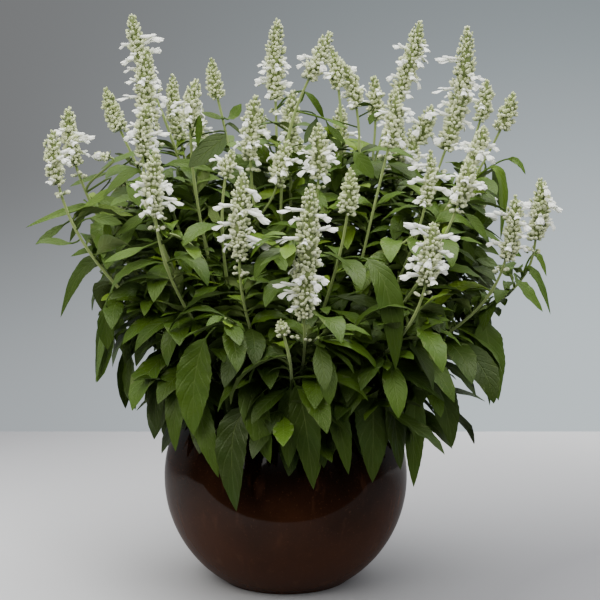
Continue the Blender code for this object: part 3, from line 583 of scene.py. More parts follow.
@dataclass(frozen=True)
class SalviaPetal(Finish):
    """Petal of a white salvia: thin and matt, cool white with a green throat and faint folds."""

    title: str = "salvia petal"
    roughness: float = 0.6
    sheen: float = 0.2
    white: str = "fdfff6"
    throat: str = "d9e2b8"
    veil: str = "f1f3e6"
    relief: Pair = (0.15, 0.3 * MM)

    def make(self) -> Material:
        """Builds the petal material, from the throat to the lip along the piece's own map.

        Returns:
            The material.
        """
        made, tree, shader = self.start()
        place = node(tree, "NodeUVMap", {"uv_map": "surface"}, {})
        split = node(tree, "NodeSeparateXYZ", {}, {0: place})
        tone = node(tree, "NodeAttribute", {"attribute_name": "tone"}, {}).outputs["Fac"]
        turns = node(tree, "NodeMath", {"operation": "MULTIPLY", 1: 7 * math.tau}, {0: split.outputs[0]})
        folds = node(tree, "NodeMath", {"operation": "COSINE"}, {0: turns})
        open_lip = node(tree, "NodeMapRange", SMOOTH | {LOW: 0.0, HIGH: 0.4}, {VALUE: split.outputs[1]})
        colour = node(tree, "NodeMix", COLOURS | {UNDER: self.throat, OVER: self.white}, {SHARE: open_lip})
        veil = node(tree, "NodeMapRange", SMOOTH | {LOW: 0.5, HIGH: 1.0, AT_HIGH: 0.6}, {VALUE: tone})
        colour = node(tree, "NodeMix", COLOURS | {OVER: self.veil}, {SHARE: veil, UNDER: colour})
        self.join(tree, shader, colour, folds)
        return made


@dataclass(frozen=True)
class GlazedStoneware(Finish):
    """Stoneware under an iron brown glaze, fired in a kiln low in air: a wet gloss over a red brown body that
    breaks through in specks and short runs."""

    title: str = "glazed stoneware"
    roughness: float = 0.07
    gloss: float = 0.0
    coat: float = 0.29
    coat_roughness: float = 0.07
    body: str = "3c2112"
    # the dark of the cloudy patches, and painted shade on the shoulder
    thick: str = "150a04"
    break_through: str = "5a3825"
    relief: Pair = (0.12, 1.0 * MM)

    def make(self) -> Material:
        """Builds the glaze: faint cloudy patches of 60 mm, runs of 12 mm and iron specks of about 2 mm. It
        darkens
        towards the shoulder: painted shade on the upper part of the ball, under the leaves.

        Returns:
            The material.
        """
        made, tree, shader = self.start()
        place = node(tree, "NodeTexCoord", {}, {}).outputs["Object"]
        clouds = node(tree, "NodeTexNoise", {"in:Scale": 17.0, "in:Detail": 5.0}, {"Vector": place})
        drawn = node(tree, "NodeMapping", {"in:Scale": (1.0, 1.0, 0.22)}, {"Vector": place})
        runs = node(tree, "NodeTexNoise", {"in:Scale": 85.0, "in:Detail": 3.0}, {"Vector": drawn})
        specks = node(tree, "NodeTexNoise", {"in:Scale": 480.0, "in:Detail": 2.0}, {"Vector": place})
        height = node(tree, "NodeSeparateXYZ", {}, {0: place}).outputs[2]
        faint = node(tree, "NodeMapRange", {AT_LOW: 0.35, AT_HIGH: 0.65}, {VALUE: clouds})
        # Painted shade: the dark glaze gains with height, so the shoulder under the leaves is darker
        patches_and_shade = node(tree, "NodeMath", {"operation": "MULTIPLY_ADD", 1: -2.2}, {0: height, 2: faint})
        thin = node(tree, "NodeMapRange", SMOOTH | {LOW: 0.15, HIGH: 0.46}, {VALUE: patches_and_shade})
        colour = node(tree, "NodeMix", COLOURS | {UNDER: self.thick, OVER: self.body}, {SHARE: thin})
        for pattern, low, share in ((runs, 0.56, 0.25), (specks, 0.62, 0.3)):
            levels = SMOOTH | {LOW: low, HIGH: 0.74, AT_HIGH: share}
            shown = node(tree, "NodeMapRange", levels, {VALUE: pattern})
            colour = node(tree, "NodeMix", COLOURS | {OVER: self.break_through}, {SHARE: shown, UNDER: colour})
        ripple = node(tree, "NodeTexNoise", {"in:Scale": 30.0, "in:Detail": 2.0}, {"Vector": place})
        self.join(tree, shader, colour, ripple)
        return made


@dataclass(frozen=True)
class PeatMix(Finish):
    """Moist peat and bark potting mix: nearly black brown crumbs that give back little light."""

    title: str = "peat potting mix"
    roughness: float = 0.95
    dark: str = "1d1511"
    bark: str = "4a3527"
    relief: Pair = (0.8, 1.5 * MM)

    def make(self) -> Material:
        """Builds the mix, with crumbs of about 3 mm.

        Returns:
            The material.
        """
        made, tree, shader = self.start()
        place = node(tree, "NodeTexCoord", {}, {}).outputs["Object"]
        crumbs = node(tree, "NodeTexVoronoi", {"in:Scale": 330.0}, {"Vector": place})
        lumps = node(tree, "NodeTexNoise", {"in:Scale": 120.0, "in:Detail": 5.0}, {"Vector": place})
        shown = node(tree, "NodeMapRange", SMOOTH | {LOW: 0.45, HIGH: 0.75, AT_HIGH: 0.8}, {VALUE: lumps})
        colour = node(tree, "NodeMix", COLOURS | {UNDER: self.dark, OVER: self.bark}, {SHARE: shown})
        self.join(tree, shader, colour, crumbs)
        return made


@dataclass(frozen=True)
class MattBoard(Finish):
    """White lacquered board: pale and nearly matt, with painted light and shade across it."""

    title: str = "matt white board"
    roughness: float = 0.6
    ior: float = 1.4
    pale: str = "cbcbcc"
    shaded_board: str = "8b8b8e"
    shade_line: float = 350 * MM

    def make(self) -> Material:
        """Builds the board. It is painted darker at the back on the left and at the front on the right, where
        x times (y less 350 mm) is below zero: painted shade where the light falls off.

        Returns:
            The material.
        """
        made, tree, shader = self.start()
        place = node(tree, "NodeTexCoord", {}, {}).outputs["Object"]
        split = node(tree, "NodeSeparateXYZ", {}, {0: place})
        back = node(tree, "NodeMath", {"operation": "SUBTRACT", 1: self.shade_line}, {0: split.outputs[1]})
        swept = node(tree, "NodeMath", {"operation": "MULTIPLY"}, {0: split.outputs[0], 1: back})
        # Painted light and shade: darker where the studio light falls off across the floor
        painted_falloff = node(tree, "NodeMapRange", {LOW: 0.08, HIGH: -0.09}, {VALUE: swept})
        colour = node(tree, "NodeMix", COLOURS | {UNDER: self.pale, OVER: self.shaded_board}, {SHARE: painted_falloff})
        tree.links.new(colour.outputs[2], shader.inputs["Base Color"])
        return made


# The layout: where the solids are


class StemSide(Enum):
    """On which side of its stem a leaf grows, of the two that a joint has."""

    AS_TURNED = 0
    OUTER = 1
    INNER = -1


class Space:
    """What has been placed so far, to keep one piece clear of another."""

    MOST = 8192  # meshes that it can hold

    def __init__(self) -> None:
        """Starts empty."""
        self.owners: list[Any] = []
        self.trees: list[BVHTree] = []
        self.lows = np.empty((self.MOST, 3))
        self.highs = np.empty((self.MOST, 3))

    def add(self, owner: Any, points: Array, faces: Faces) -> None:
        """Keeps a mesh.

        Args:
            owner: the piece that it belongs to.
            points: its points.
            faces: its faces.
        """
        count = len(self.trees)
        self.lows[count], self.highs[count] = points.min(axis=0), points.max(axis=0)
        self.owners.append(owner)
        self.trees.append(BVHTree.FromPolygons([Vector(p) for p in points], faces))

    def meets(self, points: Array, faces: Faces, leave_out: tuple[Any, ...] = ()) -> bool:
        """Whether a mesh meets anything that doesn't belong to a piece in leave_out.

        Args:
            points: the mesh's points.
            faces: its triangles.
            leave_out: owners that it may meet.

        Returns:
            True if it meets something.
        """
        low, high = points.min(axis=0), points.max(axis=0)
        count = len(self.trees)
        near = ((self.lows[:count] < high) & (low < self.highs[:count])).all(axis=1)
        trees = [self.trees[i] for i in np.flatnonzero(near) if self.owners[i] not in leave_out]
        if not trees:
            return False
        tree = BVHTree.FromPolygons([Vector(p) for p in points], faces)
        return any(tree.overlap(other) for other in trees)


@dataclass(frozen=True)
class Eye:
    """The eye in front of the plant. Sizes as seen are millimetres right of the pot's axis and above its widest
    line, in the plane through the aim point that faces the eye."""

    distance: float = 2.2
    rise: float = math.radians(11)
    aim: tuple[float, float, float] = (14.5 * MM, 0.0, 286 * MM)
    widest: float = 105 * MM

    def forward(self) -> Array:
        """The direction in which it looks."""
        return np.array([0.0, math.cos(self.rise), -math.sin(self.rise)])

    def upward(self) -> Array:
        """The direction that it sees as up."""
        return np.array([0.0, math.sin(self.rise), math.cos(self.rise)])

    def place(self) -> Array:
        """Where it is."""
        return np.array(self.aim) - self.forward() * self.distance

    def aim_up(self) -> float:
        """How far above the pot's widest line it sees the point that it aims at."""
        return (self.aim[2] - self.widest) * math.cos(self.rise)

    def seen(self, across: float, up: float, depth: float) -> Array:
        """The point at a depth behind the pot's axis that the eye sees this far across and up.

        Args:
            across: millimetres to the right.
            up: millimetres upwards.
            depth: millimetres behind the pot's axis.

        Returns:
            The point, in metres.
        """
        aim, eye = np.array(self.aim), self.place()
        on_plane = aim + (across * MM - aim[0]) * X + (up * MM - self.aim_up()) * self.upward()
        ray = on_plane - eye
        return eye + ray * (depth * MM - eye[1]) / ray[1]

    def sights(self, points: Array) -> Array:
        """Where the eye sees points: seen() turned round.

        Args:
            points: N by 3.

        Returns:
            N by 2: millimetres across and up.
        """
        forward = self.forward()
        rays = points - self.place()
        shift = rays * (self.distance / (rays @ forward))[:, None] - forward * self.distance
        return np.stack([shift[:, 0] + self.aim[0], shift @ self.upward() + self.aim_up()], axis=1) / MM


EYE = Eye()
BUSH_AXIS = np.array([14.5 * MM, 0.0])  # the foliage leans a little to the right of the pot


# Name, tip and base as seen, depth behind the pot's axis, open flowers of the solid, and width
SPIKES = (
    ("far_left_low", (-233, 348), (-227, 293), -48, 3, 1.0),
    ("far_left_high", (-217, 371), (-210, 313), -8, 3, 1.0),
    ("left_bud", (-180, 391), (-165, 347), 45, 0, 0.85),
    ("left_top", (-154, 464), (-136, 396), 30, 3, 1.0),
    ("left_upper", (-138, 431), (-135, 348), -8, 3, 1.1),
    ("left_middle", (-137, 374), (-143, 322), -48, 4, 1.0),
    ("left_lower", (-130, 328), (-130, 260), -86, 4, 1.1),
    ("left_inner", (-113, 404), (-105, 338), 38, 1, 1.0),
    ("left_second", (-89, 399), (-95, 350), -20, 2, 1.0),
    ("left_thin", (-74, 420), (-68, 380), 55, 0, 0.75),
    ("middle_top", (-8, 460), (-10, 378), 40, 3, 1.0),
    ("middle_left", (-29, 383), (-35, 318), -12, 3, 1.0),
    ("middle", (8, 388), (5, 328), 12, 3, 1.0),
    ("middle_small", (-53, 328), (-60, 300), -55, 2, 0.8),
    ("front_left", (-42, 306), (-46, 218), -96, 4, 1.05),
    ("middle_leaning", (45, 447), (23, 398), -16, 2, 1.0),
    ("middle_back", (46, 430), (53, 390), 66, 1, 1.0),
    ("middle_right", (58, 415), (71, 370), 18, 1, 1.0),
    ("middle_front", (33, 355), (33, 298), -42, 4, 1.0),
    ("right_of_middle_bud", (65, 310), (62, 265), -74, 0, 0.85),
    ("front", (25, 295), (18, 160), -118, 5, 1.25),
    ("front_small", (-5, 158), (-2, 143), -134, 0, 0.6),
    ("right_inner_back", (88, 403), (90, 358), 74, 1, 1.0),
    ("right_top", (135, 458), (110, 378), 42, 4, 1.1),
    ("right_inner", (110, 388), (103, 330), -18, 3, 1.0),
    ("right_tallest", (182, 453), (160, 328), 0, 5, 1.2),
    ("right_low_back", (147, 373), (132, 335), 58, 1, 1.1),
    ("right_old", (145, 328), (140, 273), -44, 1, 0.8),
    ("far_right_top", (201, 399), (195, 358), 52, 1, 1.0),
    ("far_right_bud", (228, 386), (215, 348), 18, 0, 0.85),
    ("far_right_middle", (199, 352), (185, 313), -34, 2, 1.0),
    ("right_lower", (185, 318), (173, 273), -76, 3, 1.0),
    ("front_right", (147, 256), (140, 193), -112, 4, 1.15),
    ("far_right_low", (255, 300), (250, 238), -12, 4, 1.1),
    ("far_right_lower", (230, 283), (220, 218), -50, 3, 1.05),
)
SPIKE_DEPTHS = 1.25  # the bush is this much deeper than the depths above

# The side that faces away, set round the bush by a rule
BACK_SPIKES = 9
BACK_FROM = math.radians(14)
BACK_TO = math.radians(166)
BACK_RADII = (0.176, 0.118)  # every second one stands nearer the middle
BACK_TIPS = (0.425, 0.475)
BACK_STRAY = (0.014, (-0.025, 0.02))  # outwards, and down and up
BACK_LENGTHS = (0.055, 0.080)
BACK_LEAN = (0.14, 0.06)  # outwards, and any way

# Leaves that make the outline: root and tip as seen, their two depths, width, and how high the leaf arches
OUTLINE_LEAVES = (
    ((-180, 265), (-260, 250), -14, -22, 12, 20),
    ((-218, 242), (-250, 233), 2, -4, 11, 8),
    ((-177, 216), (-225, 160), -30, -36, 17, 26),
    ((-135, 188), (-177, 178), -88, -100, 14, 10),
    ((-173, 178), (-189, 95), -18, -26, 18, 12),
    ((-165, 123), (-150, 68), -46, -58, 22, 8),
    ((-135, 108), (-128, 44), -78, -92, 20, 8),
    ((-112, 98), (-110, 26), -98, -110, 21, 8),
    ((-95, 128), (-92, 42), -124, -136, 36, 10),
    ((-92, 78), (-67, 0), -118, -134, 22, 10),
    ((-66, 78), (-49, -33), -128, -146, 32, 12),
    ((-42, 93), (-15, 16), -134, -146, 27, 12),
    ((4, 78), (3, 10), -128, -138, 24, 8),
    ((17, 78), (28, -12), -138, -150, 28, 10),
    ((50, 83), (63, 3), -130, -142, 22, 10),
    ((87, 83), (87, -5), -116, -130, 38, 10),
    ((106, 78), (115, 8), -106, -122, 24, 8),
    ((124, 80), (128, -9), -88, -104, 22, 10),
    ((155, 98), (167, 31), -66, -80, 30, 8),
    ((195, 148), (213, 77), -44, -54, 34, 12),
    ((185, 188), (202, 78), -6, -14, 22, 12),
    ((235, 206), (265, 163), -18, -24, 13, 18),
    ((243, 233), (261, 201), -4, -10, 10, 10),
    ((193, 203), (243, 166), -54, -66, 20, 14),
    ((218, 323), (215, 238), 16, 12, 17, 14),
    ((105, 228), (110, 108), -122, -134, 26, 10),
    ((225, 328), (240, 303), 26, 22, 9, 6),
)

# Smaller leaves that show between the stalks and at the bush's edge, which only the dressing has: root and tip
# as seen, width, how high the leaf arches, and how young and pale it is; a value below zero paints shade on it
SIDE_LEAVES = (
    ((-177, 304), (-216, 291), 11, 5, -0.3),
    ((-175, 298), (-194, 277), 10, 2, 0.8),
    ((-148, 306), (-183, 280), 14, 9, 0.6),
    ((-201, 270), (-172, 290), 11, 3, 0.0),
    ((-199, 274), (-150, 271), 12, 6, 0.3),
    ((-197, 266), (-152, 262), 18, 5, 0.5),
    ((-195, 259), (-163, 254), 13, 2, 0.0),
    ((-199, 261), (-216, 235), 10, 10, 0.6),
    ((-193, 260), (-184, 232), 11, 2, 0.9),
    ((-179, 229), (-179, 258), 13, 2, -0.2),
    ((-175, 230), (-215, 221), 12, 8, 0.7),
    ((-142, 229), (-182, 215), 13, 4, 0.3),
    ((-150, 250), (-170, 224), 14, 4, 0.0),
    ((-140, 262), (-170, 242), 14, 4, 0.0),
    ((-178, 180), (-190, 95), 20, 6, 0.0),
    ((-170, 178), (-172, 118), 22, 4, 0.0),
    ((-122, 172), (-118, 78), 24, 6, 0.0),
    ((-63, 358), (-86, 365), 8, 4, -1.2),
    ((-57, 358), (-44, 374), 19, 3, -1.2),
    ((-60, 342), (-97, 310), 29, 6, -1.5),
    ((-86, 360), (-88, 331), 9, 2, -0.8),
    ((-8, 353), (-23, 361), 7, 1, 0.0),
    ((18, 381), (39, 357), 9, 17, -0.6),
    ((17, 381), (11, 372), 7, 1, 0.0),
    ((31, 357), (19, 334), 14, 3, -1.2),
    ((42, 352), (60, 334), 12, 4, -0.8),
    ((40, 358), (61, 350), 9, 3, 0.0),
    ((44, 345), (58, 327), 12, 3, -0.8),
    ((98, 329), (57, 311), 19, 9, -0.6),
    ((56, 332), (92, 330), 12, 4, 0.0),
    ((56, 322), (48, 298), 14, 3, 0.0),
    ((88, 364), (84, 353), 9, 1, 0.0),
    ((100, 320), (119, 296), 12, 3, 0.0),
    ((203, 318), (217, 263), 17, 9, -0.3),
    ((195, 292), (216, 276), 11, 6, 0.0),
    ((214, 231), (236, 221), 11, 4, 0.0),
    ((185, 240), (214, 222), 16, 4, 0.0),
    ((180, 262), (202, 238), 14, 4, 0.0),
    ((162, 264), (150, 234), 15, 3, 0.0),
    ((-171, 144), (-189, 95), 18, 2, 0.0),
    ((-159, 130), (-160, 69), 22, 2, -0.2),
    ((-180, 170), (-178, 128), 20, 2, 0.0),
    ((-166, 165), (-163, 125), 18, 2, 0.0),
    ((-215, 231), (-250, 234), 11, 11, -0.3),
    ((-60, 354), (-43, 342), 7, 6, -0.8),
    ((86, 372), (72, 373), 6, 2, -1.0),
    ((-168, 258), (-146, 238), 13, 4, -0.8),
    ((-158, 290), (-138, 266), 13, 5, -0.5),
    ((-117, 311), (-69, 305), 12, 9, 0.3),
    ((-108, 306), (-84, 280), 14, 5, -0.3),
    ((-122, 300), (-160, 292), 12, 5, 0.4),
    ((-63, 330), (-46, 318), 9, 5, -0.3),
    ((36, 336), (52, 318), 12, 5, -1.0),
    ((200, 312), (190, 280), 13, 5, -0.8),
)

# Where the open flowers of each spike show, as seen. A spike that isn't named has them all round by a rule
FLOWERS = {
    "left_top": ((-122, 446), (-128, 435), (-127, 425), (-160, 415), (-154, 422)),
    "left_upper": ((-155, 398), (-142, 400), (-128, 395), (-162, 379), (-123, 382), (-148, 368)),
    "left_inner": ((-112, 363), (-123, 380), (-98, 352)),
    "left_middle": ((-162, 345), (-155, 347), (-152, 335), (-122, 340), (-126, 330)),
    "left_lower": (
        (-149, 292), (-134, 283), (-105, 284), (-113, 292), (-110, 275), (-145, 264), (-125, 264), (-136, 270),
    ),
    "far_left_high": ((-236, 344), (-225, 348), (-200, 347), (-195, 341), (-217, 321), (-210, 336)),
    "far_left_low": ((-234, 295), (-235, 313), (-220, 320)),
    "middle_top": ((3, 420), (-7, 414), (-23, 410), (-27, 399), (-20, 386), (3, 393)),
    "middle_left": ((-43, 341), (-20, 345), (-14, 344), (-27, 333), (-25, 318), (-41, 360), (-36, 336)),
    "middle": ((16, 352), (-6, 345)),
    "middle_small": (),
    "middle_front": ((17, 320), (50, 320), (44, 325), (11, 309), (42, 303), (26, 306)),
    "front_left": (
        (-66, 273), (-19, 268), (-44, 264), (-67, 255), (-63, 240), (-20, 244), (-30, 238), (-23, 287),
    ),
    "front": (
        (-4, 268), (4, 257), (40, 262), (-2, 241), (45, 245), (19, 235), (38, 203), (14, 204), (-10, 194),
        (-7, 188), (3, 182), (31, 185), (30, 176), (6, 172), (33, 196),
    ),
    "middle_leaning": ((16, 426), (11, 418), (40, 413)),
    "middle_right": ((64, 374),),
    "right_inner_back": ((93, 389),),
    "right_inner": ((119, 336), (125, 370), (100, 340)),
    "right_top": (
        (110, 431), (142, 431), (114, 419), (136, 411), (100, 407), (127, 402), (140, 394), (124, 383),
    ),
    "right_tallest": (
        (151, 421), (158, 419), (152, 394), (187, 401), (192, 394), (185, 388), (178, 392), (187, 356),
        (171, 330), (146, 366), (150, 340),
    ),
    "right_low_back": ((142, 364), (128, 350)),
    "right_old": ((128, 313), (127, 299), (131, 285), (137, 274), (161, 288), (160, 298)),
    "far_right_top": ((189, 390), (194, 372)),
    "far_right_middle": ((181, 332), (203, 320), (196, 325)),
    "right_lower": ((178, 295), (167, 287), (193, 288)),
    "front_right": (
        (115, 248), (127, 235), (167, 238), (163, 226), (142, 219), (121, 207), (129, 218), (163, 212),
        (157, 205), (147, 199), (123, 240),
    ),
    "late_middle": ((-1, 304), (-12, 300), (4, 318)),
    "late_left": ((-190, 326),),
    "far_right_low": ((265, 280), (272, 273), (271, 252), (253, 262), (262, 290)),
    "far_right_lower": ((202, 264), (211, 261), (237, 240), (222, 235), (241, 271), (240, 256), (230, 262)),
}

# Young flower stalks that branch off other stems, which only the dressing has: name, tip and base as seen,
# depth behind the pot's axis, open flowers, width, and the place as seen where each leaves its stem
LATE_SPIKES = (
    ("late_middle", (3, 338), (-9, 293), -26, 2, 0.95, (-20, 245)),
    ("late_left", (-192, 322), (-176, 320), -18, 1, 0.6, (-168, 292)),
)

# Shoots without flowers, in tiers from the rim upwards: count, first angle, reach and height of the tip
SHOOT_TIERS = (
    (9, math.radians(20), 0.130, 0.214),
    (9, math.radians(0), 0.158, 0.285),
    (6, math.radians(30), 0.150, 0.365),
)


@dataclass(frozen=True)
class BallPot:
    """The ball pot: a ball on a flat foot, open at the top, with a rounded rim."""

    radius: float = 123 * MM
    centre: float = 105 * MM
    wall: float = 7.5 * MM
    floor: float = 12 * MM
    rim: float = 186 * MM
    foot_edge: float = 1.5 * MM
    guard_sides: int = 32
    guard_rows: int = 10
    sides: int = 144
    rows: int = 80
    rim_rows: int = 9
    rim_turn: Pair = (0.25, 2.9)
    edge_turn: Numbers = (0.5, 1.0, math.pi / 2)
    edge_rise: float = 0.7
    sway: float = 0.0005

    def arc(self, radius: float, low: float, high: float, steps: int) -> list[Pair]:
        """Profile points on a ball round the pot's centre, evenly by angle.

        Args:
            radius: the ball's radius.
            low: height of the first point.
            high: height of the last one.
            steps: how many points there are.

        Returns:
            Radius and height of each.
        """
        start, end = (math.asin((height - self.centre) / radius) for height in (low, high))
        angles = np.linspace(start, end, steps)
        return [(radius * math.cos(a), self.centre + radius * math.sin(a)) for a in angles]

    def guard(self, soil_edge: float, soil_middle: float) -> Shape:
        """Points and faces of the outer wall and rim, a little large, to keep leaves and stems off it.

        Args:
            soil_edge: height of the soil at the wall.
            soil_middle: height of the soil on the axis.

        Returns:
            Points and faces.
        """
        profile = self.arc(self.radius + MM, self.foot_edge, self.rim - self.wall / 2, self.guard_rows)
        edge = profile[-1][0]
        lip, inside = (edge - self.wall / 2, self.rim + MM), (edge - self.wall - MM, soil_edge)
        profile += [lip, inside, (0.0, soil_middle)]
        sides = self.guard_sides
        angles = circle(sides)
        rings = [spread(r * np.cos(angles), r * np.sin(angles), z) for r, z in profile]
        faces = []
        for i in range(len(profile) - 1):
            for j in range(sides):
                a, b = i * sides + j, i * sides + (j + 1) % sides
                faces.append((a, b, b + sides, a + sides))
        return np.vstack(rings), faces

    def profile(self) -> Array:
        """The section in order: up the inner wall, over the half round rim, down the outer wall to the foot.

        Returns:
            Radius and height of each point, N by 2.
        """
        lip = self.wall / 2
        shoulder = self.rim - lip
        inner = self.arc(self.radius - self.wall, self.floor, shoulder, self.rows // 3)
        outer = self.arc(self.radius, shoulder, self.foot_edge, self.rows)
        middle = (inner[-1][0] + outer[0][0]) / 2
        half = (outer[0][0] - inner[-1][0]) / 2
        turns = np.linspace(*self.rim_turn, self.rim_rows)
        rim = [(middle - half * math.cos(a), shoulder + lip * math.sin(a)) for a in turns]
        edge_radius = outer[-1][0]
        turn = [
            (edge_radius - self.foot_edge * math.sin(a), self.foot_edge * (1 - math.sin(a)) * self.edge_rise)
            for a in self.edge_turn
        ]
        return np.array(inner + rim + outer + turn)

    def dress(self, finish: Material) -> Object:
        """Turns the section once round the axis. The ball swells and shrinks by less than a tenth of a
        millimetre, as a thrown pot does: radius times 1 plus the sway times a sum of two slow waves round and
        up it.

        Args:
            finish: the glaze.

        Returns:
            The pot.
        """
        profile = self.profile()
        angles = circle(self.sides)
        height = profile[:, 1][:, None]
        sway = np.sin(2 * angles + 34 * height) + 0.6 * np.sin(3 * angles - 55 * height + 1)
        radius = profile[:, 0][:, None] * (1 + self.sway * sway)
        rings = spread(radius * np.cos(angles), -radius * np.sin(angles), height)
        body = Body()
        body.tube(rings, Z * self.floor, np.zeros(3), spread(angles / math.tau, height))
        return body.make("ball_pot", [finish], 50)


@dataclass(frozen=True)
class PottingSoil:
    """The soil in the pot, a little higher in the middle, with crumbs on it."""

    pot: BallPot
    edge: float = 168 * MM
    middle: float = 173 * MM
    sides: int = 64
    top_rows: int = 26
    side_rows: int = 14
    ripple: float = 0.4 * MM
    below: float = 0.6 * MM
    crumbs: int = 260
    crumb_half: Pair = (0.8, 2.6)
    crumb_rough: float = 0.25
    crumb_rings: tuple[int, int] = (4, 6)

    def surface(self, radius: Array, angle: Array) -> Array:
        """Height of the soil: a dome, whose height falls with the square of the radius, with two sets of
        ripples on it, one a sine of radius and angle and one a sine of x.

        Args:
            radius: distance from the axis.
            angle: the angle round it.

        Returns:
            The heights.
        """
        share = radius / (self.pot.radius - self.pot.wall)
        ripple = np.sin(210 * radius + 3 * angle) + np.sin(150 * radius * np.cos(angle) + 2)
        return self.edge + (self.middle - self.edge) * (1 - share**2) + self.ripple * ripple - self.below

    def dress(self, finish: Material) -> Object:
        """Makes the dome, the side that follows the pot's inner wall, and the crumbs, all stretched balls.

        Args:
            finish: the potting mix.

        Returns:
            The soil.
        """
        inside = self.pot.radius - self.pot.wall - 2 * GAP
        angles = circle(self.sides)
        rim = math.sqrt(inside**2 - (self.edge - self.pot.centre) ** 2) - MM
        radii = np.linspace(0.04, 1.0, self.top_rows)[:, None] * rim * np.ones(self.sides)
        top = spread(radii * np.cos(angles), radii * np.sin(angles), self.surface(radii, angles))
        down = np.array(self.pot.arc(inside, self.edge - 3 * MM, self.pot.floor + GAP, self.side_rows))
        radius, height = down[:, 0][:, None], down[:, 1][:, None]
        side = spread(radius * np.cos(angles), radius * np.sin(angles), height)
        rings = np.concatenate([top, side])[::-1]
        maps = np.zeros((*rings.shape[:2], 2))
        body = Body()
        body.tube(rings, Z * (self.pot.floor + GAP), Z * (self.middle - self.below), maps)

        draw = np.random.default_rng(SEED + 10)
        reach = rim * np.sqrt(draw.uniform(0.01, 0.92, self.crumbs))
        turn = draw.uniform(0, math.tau, self.crumbs)
        places = spread(reach * np.cos(turn), reach * np.sin(turn), self.surface(reach, turn))
        rows, around = self.crumb_rings
        lean = np.linspace(0.6, math.pi - 0.6, rows)[:, None]
        spin = circle(around)
        ball = spread(np.sin(lean) * np.cos(spin), np.sin(lean) * np.sin(spin), -np.cos(lean))
        ball = np.vstack([ball.reshape(-1, 3), [[0, 0, -1], [0, 0, 1]]])
        quads, tris = tube_faces(rows, around)
        sizes = draw.uniform(*self.crumb_half, (self.crumbs, 1, 3)) * MM
        rough = 1 + self.crumb_rough * draw.normal(size=(self.crumbs, len(ball), 1)).clip(-1, 1)
        body.add(ball * sizes * rough + places[:, None], quads, tris, np.zeros((len(ball), 2)))
        return body.make("potting_soil", [finish], 60)


@dataclass(frozen=True)
class FlowerSpike:
    """A flower spike: a ringed column of felted calyces and two-lipped flowers on top of a stem."""

    name: str
    base: Array
    tip: Array
    florets: int
    width: float
    radius: float = 7.8 * MM
    bud_out: float = 1.28
    lip_out: float = 7 * MM
    lip_half: float = 4.8 * MM
    lip_thick: float = 1.3 * MM
    lip_rise: float = 3 * MM
    lip_drop: float = 4 * MM
    reach: float = 12 * MM
    florets_from: float = 0.12
    florets_to: float = 0.62
    floret_turn: float = 2.4
    bow: float = 0.045
    late: bool = False  # only the dressing has it

    def axis(self, t: Any) -> Array:
        """Points along the spike, which bows a little away from the bush's middle: by its length times the bow
        times 4 t (1 less t), so most at half its height.

        Args:
            t: shares of its length, one or several.

        Returns:
            One row for each share.
        """
        way = unit(np.append(self.base[:2] - BUSH_AXIS, 0.0) + 0.001 * X)
        length = np.linalg.norm(self.tip - self.base)
        t = np.asarray(t, float).reshape(-1, 1)
        return self.base + (self.tip - self.base) * t + way * self.bow * length * 4 * t * (1 - t)

    def girth(self, s: Any) -> Array:
        """Radius at the share s of the height, as a share of the widest: a quick swell, then a round top."""
        return np.clip(s, 0.01, 1) ** 0.16 * (1 - np.clip(s, 0, 1) ** 3.2) ** 0.8

    def frame(self) -> tuple[Array, Array, Array]:
        """The spike's own directions.

        Returns:
            Along it, and two across it.
        """
        along = unit(self.tip - self.base)
        east = unit(np.cross(along, Y))
        return along, east, np.cross(along, east)

    def column_guard(self) -> Shape:
        """A plain column round the buds.

        Returns:
            Points and faces.
        """
        s = np.linspace(0, 1, 8)
        moved = replace(self, base=self.base + unit(self.tip - self.base) * GAP)
        reach = self.radius * self.width * self.bud_out * self.girth(s)
        reach[0] = reach[1] * 0.5
        return guard_tube(moved.axis(s), reach * math.sqrt(2))

    def floret_place(self, k: int) -> Pair:
        """The share of the height and the angle at which the solid's open flower k stands."""
        s = self.florets_from + (self.florets_to - self.florets_from) * (k + 0.5) / self.florets
        return s, self.floret_turn * k + 40 * (self.base[0] + self.base[1])

    def floret_guard(self, k: int) -> Shape:
        """The solid's open flower, from the spike's axis to its lip.

        Args:
            k: its number.

        Returns:
            Points and faces.
        """
        s, angle = self.floret_place(k)
        along, east, north = self.frame()
        way = math.cos(angle) * east + math.sin(angle) * north
        side = np.cross(along, way)
        root = self.axis(s)[0]
        reach = self.radius * self.width * self.girth(s)
        lip = root + way * (reach + self.lip_out) + along * self.lip_rise
        end = root + way * (reach + self.reach) - along * self.lip_drop
        wide, thick = side * self.lip_half, along * self.lip_thick
        faces = [((j + 1) % 4, j, 4) for j in range(4)] + [(j, (j + 1) % 4, 5) for j in range(4)]
        return np.array([lip + wide, lip + thick, lip - wide, lip - thick, root, end]), faces


@dataclass
class Stem:
    """A stem on a cubic Bezier curve, with the parameters of the joints where its leaves grow."""

    plant: int
    controls: Array
    joints: Numbers
    foot: float
    top: float
    turn: float
    flowering: bool

    def guard_points(self) -> Array:
        """The foot, the joints and the top, which the solid joins by straight stretches."""
        return bezier(self.controls, (0.0, *self.joints, 1.0))


